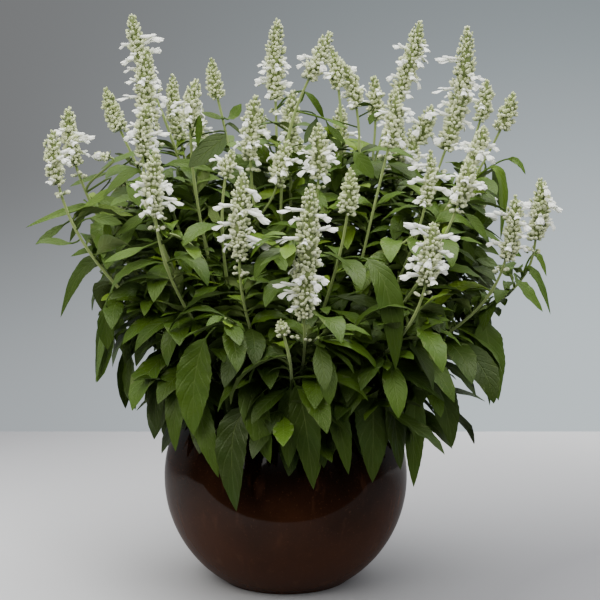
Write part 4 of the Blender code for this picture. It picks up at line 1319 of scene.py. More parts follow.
@dataclass
class Leaf:
    """A leaf at the parameter t of its stem, on a cubic Bezier midrib. Its upper side looks along face."""

    stem: Stem
    t: float
    controls: Array
    face: Array
    width: float
    petiole: float
    stations: Numbers
    neck: bool
    large: bool = False
    # how young and pale; below zero it paints shade on the leaf
    young: float = 0.0

    def directions(self, t: Array) -> tuple[Array, Array, Array]:
        """The midrib and how the blade lies on it.

        Args:
            t: parameters of the midrib.

        Returns:
            Points of the midrib there, and the blade's normals and sideways directions.
        """
        middle = bezier(self.controls, t)
        slope = bezier_slope(self.controls, t)
        normal = self.face - (slope @ self.face)[:, None] * slope
        normal /= np.linalg.norm(normal, axis=1, keepdims=True)
        return middle, normal, np.cross(normal, slope)


def blade_width(x: Array) -> Array:
    """Half width of a salvia blade at the share x of its length, as a share of its widest: a sine of the
    share's power, which sets the widest place below the middle."""
    return np.sin(math.pi * np.clip(x, 0, 1) ** 0.82) ** 0.85


def blade_outline(x: Array) -> Array:
    """Half width of the dressed blade, fuller than the solid's: a power of x times a power of 1 less x. It
    narrows slowly to the petiole and ends in a short round point.

    Args:
        x: shares of the blade's length.

    Returns:
        The half widths, as shares of the widest.
    """
    rise, fall = 0.82, 0.88
    widest = rise / (rise + fall)
    x = np.clip(x, 0, 1)
    return x**rise * (1 - x) ** fall / (widest**rise * (1 - widest) ** fall)


Maker = Callable[[int], Leaf]  # gives the leaf of each try


@dataclass
class Bush:
    """Where every spike, stem and leaf stands. The draws come in the order in which the solids were placed."""

    pot: BallPot
    soil: PottingSoil
    # The plants in the pot and their crowns
    plant_ring: float = 48 * MM
    ring_plants: int = 6
    ring_turn: float = math.radians(30)
    crown_radius: float = 9 * MM
    crown_top: float = 186 * MM
    stems_start: float = 180 * MM
    stems_ring: float = 6.4 * MM
    plant_share: float = 0.36
    # Their stems and shoots
    stem_sizes: Pair = (2.1 * MM, 1.6 * MM)
    shoot_sizes: Pair = (2.0 * MM, 1.5 * MM)
    stem_rise: float = 0.26
    stem_entry: float = 0.36
    stem_stray: Pair = (12 * MM, 9 * MM)
    stem_tries: int = 120
    stem_loose: Pair = (0.2, 2.5)
    joint_stray: float = 0.04
    loose_joints: float = 0.9
    upper_from: float = 0.15
    stem_joints: Numbers = (0.60, 0.83)
    shoot_joints: Numbers = (0.55, 0.78, 0.97)
    shoot_stray: Pair = (0.08, 0.012)
    shoot_lift: float = 0.25
    # The blades of the solids
    leaf_thick: float = 1.3 * MM
    leaf_fold: float = 0.22
    leaf_tooth: float = 0.10
    petiole_half: float = 1.1 * MM
    leaf_clear: float = 0.7 * MM
    large_leaf: float = 86 * MM
    large_stations: Numbers = (0.17, 0.38, 0.60, 0.81)
    middle_stations: Numbers = (0.24, 0.52, 0.79)
    small_stations: Numbers = (0.30, 0.68)
    # The leaves at the joints: sizes and bends, by the height of the root where two rows are given
    leaf_tries: int = 10
    bush_reach: float = 208 * MM
    heights: Numbers = (0.20, 0.28, 0.38, 0.46, 0.52)
    lengths: Numbers = (0.094, 0.086, 0.068, 0.046, 0.030)
    slimness: float = 0.34
    rise: tuple[Numbers, Numbers] = ((0.20, 0.45), (0.30, 0.70))
    droop: tuple[Numbers, Numbers] = ((0.20, 0.34, 0.48), (-1.38, -1.15, -0.60))
    leaf_steps: Numbers = (0.34, 0.34, 0.36)
    leaf_petiole: float = 0.14
    leaf_bend: float = -0.15
    leaf_sizes: Pair = (0.85, 1.15)
    leaf_shrink: float = 0.03
    leaf_tilt: Pair = (0.12, 0.06)
    leaf_swing: Pair = (0.15, 0.10)
    leaf_outward: float = 0.35
    leaf_face: Pair = (0.9, 0.25)
    lifted: Numbers = (1.6, 0.2, 0.8)
    # The leaves of the outline
    outline_roll: float = 0.9
    slender: Numbers = (1.3, 9 * MM, 9 * MM)  # youth, width and sag of the outline's first leaf
    outline_joints: int = 4
    outline_below: float = 30 * MM
    outline_shift: float = 3 * MM
    outline_face: Pair = (0.8, 0.3)
    # The lines of sight to the front stalks and spikes
    front_stalks: float = -20 * MM
    bare_stalk: Pair = (0.62, 0.99)
    stalk_gap: float = 4 * MM
    spike_gap: float = 14 * MM
    sight_half: float = 4 * MM
    sight_depth: float = 110 * MM
    curtain_points: int = 8
    swings: Numbers = (0.25, -0.25, 0.5, -0.5, 0.8, -0.8, 1.1, -1.1)
    # The leaves between the joints, in the axils and on the tips, which only the dressing has
    stem_between: Numbers = (0.22, 0.32, 0.40, 0.47, 0.53, 0.565, 0.64, 0.69, 0.73, 0.78)
    shoot_between: Numbers = (0.25, 0.36, 0.46, 0.66, 0.88)
    fill_growth: tuple[Numbers, ...] = ((0.20, 0.27, 0.34, 0.42), (1.15, 1.0, 1.05, 1.45))
    fill_tries: int = 5
    fill_anyway: float = 0.75
    lowest_fill: float = 70 * MM
    inner_scale: float = 0.9
    between_scales: Pair = (0.7, 1.05)
    between_lift: float = 0.12
    lowest_tuft: float = 245 * MM
    tuft_leaves: int = 3
    tuft_stray: float = 0.3
    tuft_scales: Pair = (0.28, 0.6)
    tuft_lifts: Pair = (0.3, 0.75)
    tip_leaves: int = 6
    tip_at: float = 0.985
    tip_turn: float = 2.4
    tip_scales: Pair = (0.75, 0.08)
    tip_lifts: Pair = (0.3, 0.1)
    # The leaves that show at set places
    side_span: Pair = (0.5, 0.97)
    side_steps: int = 16
    side_depths: Numbers = (0, -10, 10, -20, 20, -32, 32)
    side_tips: Pair = (-8, 4)
    side_face: Numbers = (0.8, 0.7, 0.35)
    side_petiole: float = 0.12
    short_stalk: float = 0.2
    longest_stalk: float = 0.7
    # The young flower stalks
    late_sizes: Pair = (1.6 * MM, 1.3 * MM)
    late_span: tuple[float, float, int] = (0.4, 0.9, 21)
    late_bends: Pair = (0.35, 0.4)
    # The leaves that close the views: a net of lines of sight, and the part of it that the bush fills
    view_net: tuple[Numbers, ...] = ((-172, 200, 5), (50, 330, 5))
    view_top: float = 322.0
    view_fall: float = 0.0013
    view_low: float = 60.0
    view_climb: float = 0.004
    view_behind: float = 10 * MM
    view_from: float = 400.0
    view_long: float = 0.9
    view_blade: float = 0.6
    view_widths: Pair = (15, 20)
    view_arch: float = 3
    view_youths: Pair = (-0.4, 0.3)
    view_apart: float = 4.5
    # What is placed
    space: Space = field(default_factory=Space)
    sight: Space = field(default_factory=Space)
    spikes: list[FlowerSpike] = field(default_factory=list)
    stems: list[Stem] = field(default_factory=list)
    leaves: list[Leaf] = field(default_factory=list)

    def crown_places(self) -> list[Pair]:
        """The foot points of the plants in the soil: one in the middle and a ring."""
        angles = self.ring_turn + circle(self.ring_plants)
        return [(0.0, 0.0)] + [(self.plant_ring * math.cos(a), self.plant_ring * math.sin(a)) for a in angles]

    def plan(self) -> None:
        """Places the pot, the spikes, the stems and the leaves, in that order."""
        self.space.add("pot", *self.pot.guard(self.soil.edge, self.soil.middle))
        for plant, place in enumerate(self.crown_places()):
            ends = np.array([[*place, self.soil.edge], [*place, self.crown_top + MM]])
            self.space.add(plant, *guard_tube(ends, np.full(2, self.crown_radius * math.sqrt(2))))
        self.spikes = self.all_spikes()
        for spike in self.spikes:
            shapes = [spike.column_guard()] + [spike.floret_guard(k) for k in range(spike.florets)]
            for shape in shapes:
                self.space.add(spike.name, *shape)
        self.place_stems()
        self.place_leaves()
        LOG.info("layout: %d spikes, %d stems, %d leaves", len(self.spikes), len(self.stems), len(self.leaves))
        self.fill_out()
        LOG.info("filled out to %d leaves", len(self.leaves))

    def all_spikes(self) -> list[FlowerSpike]:
        """The spikes that show from the front, then those behind, which stand round the bush by a rule.

        Returns:
            The spikes.
        """
        spikes = []
        for name, tip, base, depth, florets, width in SPIKES:
            low, high = (EYE.seen(*place, depth * SPIKE_DEPTHS) for place in (base, tip))
            spikes.append(FlowerSpike(name, low, high, florets, width))
        draw = np.random.default_rng(SEED)
        for k, angle in enumerate(np.linspace(BACK_FROM, BACK_TO, BACK_SPIKES)):
            way = np.array([math.cos(angle), math.sin(angle), 0.0])
            tip = np.append(BUSH_AXIS, 0.0) + way * (BACK_RADII[k % 2] + draw.uniform(0, BACK_STRAY[0]))
            tip[2] = BACK_TIPS[k % 2] + draw.uniform(*BACK_STRAY[1])
            length = draw.uniform(*BACK_LENGTHS)
            lean = unit(Z + BACK_LEAN[0] * way + BACK_LEAN[1] * draw.normal(size=3))
            spikes.append(FlowerSpike(f"behind_{k + 1}", tip - lean * length, tip, 3, 1.0))
        return spikes

    def nearest_plant(self, place: Array) -> int:
        """The plant whose crown best carries a stem.

        Args:
            place: where the stem ends.

        Returns:
            The plant's number.
        """
        aim = (place[:2] - BUSH_AXIS) * self.plant_share
        crowns = self.crown_places()
        return min(range(self.ring_plants + 1), key=lambda i: np.linalg.norm(aim - crowns[i]))

    def stem_wishes(self, draw: Draw) -> list[tuple[int, Array, Array, bool]]:
        """What every stem and shoot has to reach.

        Args:
            draw: the source of the shoots' stray.

        Returns:
            Plant, end, direction at the end, and whether it flowers.
        """
        wishes = []
        for spike in self.spikes:
            lean = unit(spike.axis(0.2)[0] - spike.base)
            wishes.append((self.nearest_plant(spike.base), spike.base, lean, True))
        for count, first, reach, height in SHOOT_TIERS:
            for k in range(count):
                turn, rise = self.shoot_stray
                angle = first + k * 2 * math.pi / count + draw.uniform(-turn, turn)
                out = np.array([math.cos(angle), math.sin(angle), 0.0])
                end = np.append(BUSH_AXIS, height + draw.uniform(-rise, rise)) + out * reach
                wishes.append((self.nearest_plant(end), end, unit(out + self.shoot_lift * Z), False))
        return wishes

    def crown_feet(self, plant: int, ends: Sequence[Array]) -> list[Array]:
        """Where the stems of a crown start: on a ring, in the order in which they leave it.

        Args:
            plant: the number of the plant.
            ends: where its stems end.

        Returns:
            The start of each.
        """
        place = np.array([*self.crown_places()[plant], self.stems_start])
        ways = np.array([end[:2] - place[:2] for end in ends])
        middle = math.atan2(*ways.sum(axis=0)[::-1])
        lean = (np.arctan2(ways[:, 1], ways[:, 0]) - middle + math.pi) % (2 * math.pi)
        order = np.argsort(np.argsort(lean))
        angles = middle + (order - (len(ends) - 1) / 2) * 2 * math.pi / len(ends)
        return [place + self.stems_ring * (math.cos(a) * X + math.sin(a) * Y) for a in angles]

    def place_stem(
        self, plant: int, foot: Array, end: Array, way: Array, flowering: bool, draw: Draw
    ) -> Optional[Stem]:
        """A stem to this end that meets nothing, or at least nothing of another plant.

        Args:
            plant: the number of its plant.
            foot: where it starts in the crown.
            end: where it ends.
            way: its direction there.
            flowering: whether it carries a spike.
            draw: the source of its bends. Each try bends it more.

        Returns:
            The stem, or None.
        """
        joints = self.stem_joints if flowering else self.shoot_joints
        sizes = self.stem_sizes if flowering else self.shoot_sizes
        turn = draw.uniform(0, math.pi)
        for attempt in range(self.stem_tries):
            loose = self.stem_loose[0] + self.stem_loose[1] * attempt / self.stem_tries
            span = np.linalg.norm(end - foot)
            outward = end - foot
            outward[2] = 0.0
            early, late = (reach * loose for reach in self.stem_stray)
            first = foot + (Z * span + outward) * self.stem_rise + draw.normal(size=3) * early
            second = end - way * span * self.stem_entry + draw.normal(size=3) * late
            controls = np.array([foot, first, second, end])
            stray = self.joint_stray
            placed = tuple(j + draw.uniform(-stray, stray) * (j < self.loose_joints) for j in joints)
            stem = Stem(plant, controls, placed, *sizes, turn, flowering)
            points = stem.guard_points()
            radii = np.linspace(stem.foot, stem.top, len(points)) + self.leaf_clear
            guard = guard_tube(points, radii)
            upper = guard_tube(np.vstack([bezier(controls, self.upper_from), points[1:]]), radii)
            if self.space.meets(*guard, leave_out=(plant,)):
                continue
            if attempt < self.stem_tries / 2 and self.space.meets(*upper):
                continue
            self.space.add(plant, *guard)
            return stem
        return None

    def place_stems(self) -> None:
        """A stem under every spike, and the tiers of shoots that fill the bush to its edge."""
        draw = np.random.default_rng(SEED + 1)
        wishes = self.stem_wishes(draw)
        feet: dict[int, Array] = {}
        for plant in range(self.ring_plants + 1):
            own = [i for i, wish in enumerate(wishes) if wish[0] == plant]
            feet.update(zip(own, self.crown_feet(plant, [wishes[i][1] for i in own])))
        made = [self.place_stem(wish[0], feet[i], *wish[1:], draw) for i, wish in enumerate(wishes)]
        self.stems = [stem for stem in made if stem is not None]

    def leaf_rings(self, leaf: Leaf) -> tuple[Array, Array]:
        """The solid's blade, a little larger than life.

        Args:
            leaf: the leaf.

        Returns:
            Its rings and its tip.
        """
        x = np.array(leaf.stations)
        t = leaf.petiole + (1 - leaf.petiole) * x
        swing = self.leaf_tooth * (-1.0) ** np.arange(len(x))
        half = leaf.width / 2 * blade_width(x)
        left = half * (1 + swing) + self.leaf_clear
        right = half * (1 - swing) + self.leaf_clear
        sink = half * self.leaf_fold
        thick = np.full(len(x), self.leaf_thick / 2 + self.leaf_clear)
        if leaf.neck:
            t = np.append(leaf.petiole, t)
            thin = self.petiole_half + self.leaf_clear
            left, right, thick = (np.append(thin, row) for row in (left, right, thick))
            sink = np.append(0.0, sink)
        middle, normal, side = leaf.directions(t)
        rows = (
            middle + side * left[:, None],
            middle + normal * (thick - sink)[:, None],
            middle - side * right[:, None],
            middle - normal * (thick + sink)[:, None],
        )
        return np.stack(rows, axis=1), bezier(leaf.controls, 1.0)[0]

    def leaf_guard(self, leaf: Leaf, whole: bool) -> Shape:
        """What tests what a leaf would meet.

        Args:
            leaf: the leaf.
            whole: whether its petiole counts too.

        Returns:
            Points and faces.
        """
        rings, tip = self.leaf_rings(leaf)
        if whole:
            start = bezier(leaf.controls, 0.0)[0]
            around = self.petiole_half * np.array([Y, Z, -Y, -Z])
            rings = np.vstack([(start + around)[None], rings])
        points = np.vstack([rings.reshape(-1, 3), tip])
        return points, guard_faces(len(rings), 4, len(points) - 1)

    def place_leaf(self, make: Maker, tries: int, reach: float, spare: bool = False) -> Optional[Leaf]:
        """The first of a leaf's tries that meets nothing and stays within reach.

        Args:
            make: gives the leaf of each try.
            tries: how many there are.
            reach: how far from the bush's axis the leaf may end.
            spare: whether the last try is kept, if it is within reach, even where it meets something.

        Returns:
            The leaf, or None.
        """
        last = None
        for attempt in range(tries):
            leaf = make(attempt)
            if np.linalg.norm(leaf.controls[3][:2] - BUSH_AXIS) > reach:
                continue
            plant = leaf.stem.plant
            petioles = f"petioles_{plant}"
            whole = self.leaf_guard(leaf, True)
            if self.sight.meets(*whole):
                continue
            last = leaf
            if self.space.meets(*whole, leave_out=(plant, petioles)):
                continue
            blade = self.leaf_guard(leaf, False)
            if self.space.meets(*blade, leave_out=(petioles,)):
                continue
            self.space.add(plant, *blade)
            self.space.add(petioles, *whole)
            return leaf
        return last if spare else None

    def stem_leaf(
        self,
        stem: Stem,
        t: float,
        turn: float,
        side: StemSide,
        draw: Draw,
        scale: float = 1.0,
        lift: float = 0.0,
    ) -> Maker:
        """A maker of the leaf at a joint of a stem.

        Args:
            stem: the stem.
            t: the joint's parameter.
            turn: the angle round the stem at which the leaf grows.
            side: the side of the stem, of the two that the turn gives.
            draw: the source of its size and bends.
            scale: its length as a share of the usual one there.
            lift: how much more upright it stands, from 0 to 1.

        Returns:
            A function that gives the leaf of each try.
        """
        root = bezier(stem.controls, t)[0]
        along = bezier_slope(stem.controls, t)[0]
        out = unit(np.append(root[:2] - BUSH_AXIS, 0.0))
        east = unit(np.cross(along, Z + 0.3 * out))
        north = np.cross(along, east)
        way = math.cos(turn) * east + math.sin(turn) * north
        if (way @ out) * side.value < 0:
            way = -way
        length = np.interp(root[2], self.heights, self.lengths) * scale
        more_rise, no_droop, less_bend = self.lifted
        rise = np.interp(root[2], *self.rise) + more_rise * lift
        droop = np.interp(root[2], *self.droop) * (1 - lift) + no_droop * lift

        def make(attempt: int) -> Leaf:
            """The leaf of a try, smaller and looser with each one.

            Args:
                attempt: its number.

            Returns:
                The leaf.
            """
            size = length * draw.uniform(*self.leaf_sizes) * (1 - self.leaf_shrink * attempt)
            tilt = draw.normal() * (self.leaf_tilt[0] + self.leaf_tilt[1] * attempt)
            swing = draw.normal() * (self.leaf_swing[0] + self.leaf_swing[1] * attempt)
            level = unit(np.array([way[0], way[1], 0.0]) + self.leaf_outward * out)
            level = math.cos(swing) * level + math.sin(swing) * np.cross(Z, level)
            bend = self.leaf_bend + less_bend * lift + tilt
            steps = (
                unit(way + along * rise),
                level * math.cos(bend) + Z * math.sin(bend),
                level * math.cos(droop + tilt) + Z * math.sin(droop + tilt),
            )
            controls = [root]
            for step, share in zip(steps, self.leaf_steps):
                controls.append(controls[-1] + step * size * share)
            face = unit(Z + self.leaf_face[0] * level + self.leaf_face[1] * draw.normal(size=3))
            stations = self.middle_stations if size > self.large_leaf else self.small_stations
            width = size * self.slimness
            return Leaf(stem, t, np.array(controls), face, width, self.leaf_petiole, stations, False)

        return make

    def outline_leaf(self, row: tuple[Any, ...], draw: Draw) -> Maker:
        """A maker of a leaf of the outline, which starts on the stem nearest its root.

        Args:
            row: root and tip as seen, their depths, width and arch.
            draw: the source of its bends.

        Returns:
            A function that gives the leaf of each try.
        """
        root, tip, root_depth, tip_depth, width, arch = row
        start = EYE.seen(*root, root_depth)
        end = EYE.seen(*tip, tip_depth)
        spots = [(stem, t) for stem in self.stems for t in stem.joints]

        def distance(spot: tuple[Stem, float]) -> float:
            """How far a joint is from the root, with a penalty for one that lies well below it."""
            place = bezier(spot[0].controls, spot[1])[0]
            return np.linalg.norm(place - start) + 2 * max(0.0, start[2] - self.outline_below - place[2])

        near = sorted(spots, key=distance)[: self.outline_joints]
        out = unit(np.append(start[:2] - BUSH_AXIS, 0.0))

        def make(attempt: int) -> Leaf:
            """The leaf of a try, each on another joint and a little nearer.

            Args:
                attempt: its number.

            Returns:
                The leaf.
            """
            stem, t = near[attempt % len(near)]
            place = bezier(stem.controls, t)[0]
            reach = np.linalg.norm(start - place)
            length = reach + np.linalg.norm(end - start)
            shift = -Y * draw.uniform(0, self.outline_shift) * attempt
            bow = Z * arch * MM + out * 0.5 * arch * MM
            first = place + (start - place) * 0.75 + bow * 0.8 + shift * 0.5
            second = start + (end - start) * 0.35 + bow + shift
            up, stray = self.outline_face
            face = unit(out + up * Z + stray * draw.normal(size=3))
            petiole = min(0.5, 0.8 * reach / length)
            neck = petiole > self.short_stalk
            controls = np.array([place, first, second, end + shift])
            return Leaf(stem, t, controls, face, width * MM, petiole, self.large_stations, neck, True)

        return make

    def place_leaves(self) -> None:
        """Places the leaves of the outline, then the outer one of each pair on the shoots and stems."""
        draw = np.random.default_rng(SEED + 2)
        tries = 4 * self.leaf_tries
        made = [self.place_leaf(self.outline_leaf(row, draw), tries, math.inf) for row in OUTLINE_LEAVES]
        for stem in sorted(self.stems, key=lambda s: s.flowering):
            for k, t in enumerate(stem.joints):
                turn = stem.turn + k * math.pi / 2
                paired = t == stem.joints[-1]
                side = StemSide.AS_TURNED if paired else StemSide.OUTER
                maker = self.stem_leaf(stem, t, turn, side, draw)
                made.append(self.place_leaf(maker, self.leaf_tries, self.bush_reach))
                if paired:
                    maker = self.stem_leaf(stem, t, turn + math.pi, StemSide.AS_TURNED, draw)
                    made.append(self.place_leaf(maker, self.leaf_tries, self.bush_reach))
        self.leaves = [leaf for leaf in made if leaf is not None]

    def stem_places(self, t: Array) -> Array:
        """The points at these parameters of every stem, stems by parameters by 3."""
        return np.array([bezier(stem.controls, t) for stem in self.stems])

    def side_leaf(self, row: tuple[Any, ...], draw: Draw, behind: float = -math.inf) -> Maker:
        """A maker of a leaf that shows at a set place, on one of the two stems that the eye sees nearest to it.
        Each try sets it at another depth. Its stalk is as long as it takes.

        Args:
            row: root and tip as seen, width, arch and youth.
            draw: the source of its bends.
            behind: only stems deeper than this carry it.

        Returns:
            A function that gives the leaf of each try.
        """
        root, tip, width, arch, young = row
        t = np.linspace(*self.side_span, self.side_steps)
        places = self.stem_places(t)
        away = np.linalg.norm(EYE.sights(places.reshape(-1, 3)) - root, axis=1).reshape(len(self.stems), -1)
        away[places[..., 1] < behind] = math.inf
        best = away.argmin(axis=1)
        near = np.argsort(away.min(axis=1))[:2]

        def make(attempt: int) -> Leaf:
            """The leaf of a try.

            Args:
                attempt: its number.

            Returns:
                The leaf.
            """
            stem = near[attempt % 2]
            place = places[stem, best[stem]]
            depth = place[1] / MM + self.side_depths[attempt // 2]
            start = EYE.seen(*root, depth)
            end = EYE.seen(*tip, depth + draw.uniform(*self.side_tips))
            stalk, blade = np.linalg.norm(start - place), np.linalg.norm(end - start)
            bow = Z * arch * MM
            second = start + (end - start) * 0.45 + bow
            share = min(self.longest_stalk, stalk / (stalk + blade))
            if share < self.short_stalk:
                first = place + (start - place) * 0.8 + (end - start) * 0.1 + bow
            else:  # the curve goes through the root where the blade begins
                a, b = (1 - share) ** 3, 3 * (1 - share) ** 2 * share
                c, d = 3 * (1 - share) * share**2, share**3
                first = (start + 0.3 * bow - a * place - c * second - d * end) / b
            up, nearer, stray = self.side_face
            face = unit(up * Z - nearer * Y + stray * draw.normal(size=3))
            controls = np.array([place, first, second, end])
            petiole = max(self.side_petiole, share)
            carrier, spot = self.stems[stem], t[best[stem]]
            return Leaf(
                carrier, spot, controls, face, width * MM, petiole, self.middle_stations, False, young=young
            )

        return make

    def close_views(self, draw: Draw) -> None:
        """Adds leaves at the back where the eye still looks right through the bush. A net of lines of sight is
        tried against all leaves; each one that meets none gets a leaf across it, on a stem of the back half.

        Args:
            draw: the source of their sizes and bends.
        """
        shapes = [
            self.leaf_guard(replace(leaf, width=self.view_blade * leaf.width), False) for leaf in self.leaves
        ]
        starts = np.cumsum([0] + [len(points) for points, _ in shapes])
        faces = [tuple(i + start for i in face) for (_, own), start in zip(shapes, starts) for face in own]
        tree = BVHTree.FromPolygons([Vector(p) for p in np.vstack([points for points, _ in shapes])], faces)
        across, up = (grid.ravel() for grid in np.meshgrid(*(np.arange(*span) for span in self.view_net)))
        aside = (across - BUSH_AXIS[0] / MM) ** 2
        inside = (up < self.view_top - self.view_fall * aside) & (up > self.view_low + self.view_climb * aside)
        views = []
        for view in zip(across[inside], up[inside]):
            aim = Vector(EYE.seen(*view, 0.0))
            near = Vector(EYE.seen(*view, -self.view_from))
            if tree.ray_cast(near, (aim - near).normalized(), self.view_long)[0] is None:
                views.append(view)
        LOG.info("%d of %d lines of sight pass through", len(views), inside.sum())
        places = self.stem_places(np.linspace(*self.side_span, self.side_steps)).reshape(-1, 3)
        places = EYE.sights(places[places[:, 1] > self.view_behind])
        while views:
            view = np.array(views[0], float)
            stem = places[np.argmin(np.linalg.norm(places - view, axis=1))]
            way = unit(view - stem + (0.01, 0.01))
            root, tip = view - way * 13, view + way * 15 - (0, 5)
            row = (root, tip, draw.uniform(*self.view_widths), self.view_arch, draw.uniform(*self.view_youths))
            maker = self.side_leaf(row, draw, self.view_behind)
            leaf = self.place_leaf(maker, 2 * len(self.side_depths), math.inf, True)
            if leaf is not None:
                self.leaves.append(leaf)
            line = root + (tip - root) * np.linspace(0.1, 0.9, 7)[:, None]
            views = [v for v in views[1:] if np.linalg.norm(line - v, axis=1).min() > self.view_apart]

    def hang_curtains(self) -> None:
        """Keeps leaves out of the way of the bare stalks and the spikes that show in front: three strips run
        from just before each one towards the eye, and no leaf may cross them."""
        stalks = [stem for stem in self.stems if stem.flowering and stem.controls[3][1] < self.front_stalks]
        spikes = [spike for spike in self.spikes if spike.base[1] < self.front_stalks]
        count = self.curtain_points
        t = np.linspace(*self.bare_stalk, count)
        lines = [bezier(stem.controls, t) - Y * self.stalk_gap for stem in stalks]
        lines += [spike.axis(np.linspace(0, 1, count)) - Y * self.spike_gap for spike in spikes]
        faces = [(i, i + 1, i + count + 1, i + count) for i in range(count - 1)]
        for line in lines:
            for aside in (-self.sight_half, 0.0, self.sight_half):
                points = np.vstack([line, line - EYE.forward() * self.sight_depth]) + X * aside
                self.sight.add("sight", points, faces)

    def clear_stalks(self) -> None:
        """Swings each leaf of the solids that hangs before a bare stalk or a spike round its root, a little
        more each try, until the eye sees the stalk. A leaf that no swing clears stays as it is."""
        for leaf in self.leaves:
            for swing in (0.0, *self.swings):
                about = np.array(Quaternion(Vector(Z), swing).to_matrix())
                root = leaf.controls[0]
                swung = replace(leaf, controls=root + (leaf.controls - root) @ about.T, face=about @ leaf.face)
                if not self.sight.meets(*self.leaf_guard(swung, True)):
                    leaf.controls, leaf.face = swung.controls, swung.face
                    break

    def add_late_spikes(self) -> None:
        """Adds the young flower stalks, each from the point of another stem that is nearest its foot."""
        t = np.linspace(*self.late_span)
        for name, tip, base, depth, florets, width, foot in LATE_SPIKES:
            low, high, aim = (EYE.seen(*place, depth) for place in (base, tip, foot))
            spike = FlowerSpike(name, low, high, florets, width, late=True)
            places = self.stem_places(t)
            stem, spot = np.unravel_index(np.linalg.norm(places - aim, axis=2).argmin(), places.shape[:2])
            host, start = self.stems[stem], places[stem, spot]
            span = np.linalg.norm(low - start)
            first = start + bezier_slope(host.controls, t[spot])[0] * self.late_bends[0] * span
            second = low - unit(spike.axis(0.2)[0] - low) * self.late_bends[1] * span
            controls = np.array([start, first, second, low])
            self.stems.append(Stem(host.plant, controls, (), *self.late_sizes, 0.0, True))
            self.spikes.append(spike)

    def fill_out(self) -> None:
        """Turns the leaves of the outline to the eye and clears the stalks, then adds what the solids leave
        out: the leaves at set places, the inner leaf of each pair, the pairs of the joints in between, the
        tufts of young leaves in the axils and on the tips of the shoots, the young flower stalks, and the
        leaves that close the views at the back."""
        for leaf in self.leaves:
            if leaf.large:
                leaf.face = unit(leaf.face - self.outline_roll * Y)
        slender = self.leaves[0]
        slender.young, slender.width, sag = self.slender
        slender.controls[1:3] -= sag * Z
        self.hang_curtains()
        self.clear_stalks()
        curtains, self.sight = self.sight, Space()
        draw = np.random.default_rng(SEED + 4)
        tries = 2 * len(self.side_depths)
        placed = [self.place_leaf(self.side_leaf(row, draw), tries, math.inf, True) for row in SIDE_LEAVES]
        self.leaves += [leaf for leaf in placed if leaf is not None]
        self.sight = curtains
        draw = np.random.default_rng(SEED + 3)

        def grow(stem: Stem, t: float, turn: float, side: StemSide, scale: float, lift: float) -> None:
            """Adds one leaf, if there is room for it or if it is drawn to stay anyway.

            Args:
                stem: its stem.
                t: where on the stem it grows.
                turn: the angle round the stem.
                side: the side of the stem.
                scale: its length as a share of the usual one there.
                lift: how upright it stands, which is also how young it is.
            """
            height = bezier(stem.controls, t)[0][2]
            scale *= np.interp(height, *self.fill_growth)
            maker = self.stem_leaf(stem, t, turn, side, draw, scale, lift)
            leaf = self.place_leaf(maker, self.fill_tries, self.bush_reach, draw.uniform() < self.fill_anyway)
            if leaf is not None and leaf.controls[:, 2].min() > self.lowest_fill:
                leaf.young = lift
                self.leaves.append(leaf)

        for stem in self.stems:
            for k, t in enumerate(stem.joints[:-1]):
                grow(stem, t, stem.turn + k * math.pi / 2, StemSide.INNER, self.inner_scale, 0.0)
            between = self.stem_between if stem.flowering else self.shoot_between
            for k, t in enumerate(between):
                for half in (0, 1):
                    turn = stem.turn + (k + 0.5) * math.pi / 2 + half * math.pi
                    scale = draw.uniform(*self.between_scales)
                    grow(stem, t, turn, StemSide.AS_TURNED, scale, self.between_lift)
            joints = sorted((*stem.joints, *between))
            axils = [t for t in joints if bezier(stem.controls, t)[0][2] > self.lowest_tuft]
            for k, t in enumerate(axils):
                for leaf in range(self.tuft_leaves):
                    stray = draw.uniform(-self.tuft_stray, self.tuft_stray)
                    turn = stem.turn + k * math.pi / 2 + (leaf + stray) * math.pi / 2
                    scale = draw.uniform(*self.tuft_scales)
                    grow(stem, t, turn, StemSide.AS_TURNED, scale, draw.uniform(*self.tuft_lifts))
            if not stem.flowering:
                for k in range(self.tip_leaves):
                    scale = self.tip_scales[0] - self.tip_scales[1] * k
                    lift = self.tip_lifts[0] + self.tip_lifts[1] * k
                    grow(stem, self.tip_at, stem.turn + k * self.tip_turn, StemSide.AS_TURNED, scale, lift)
        self.add_late_spikes()
        self.close_views(draw)


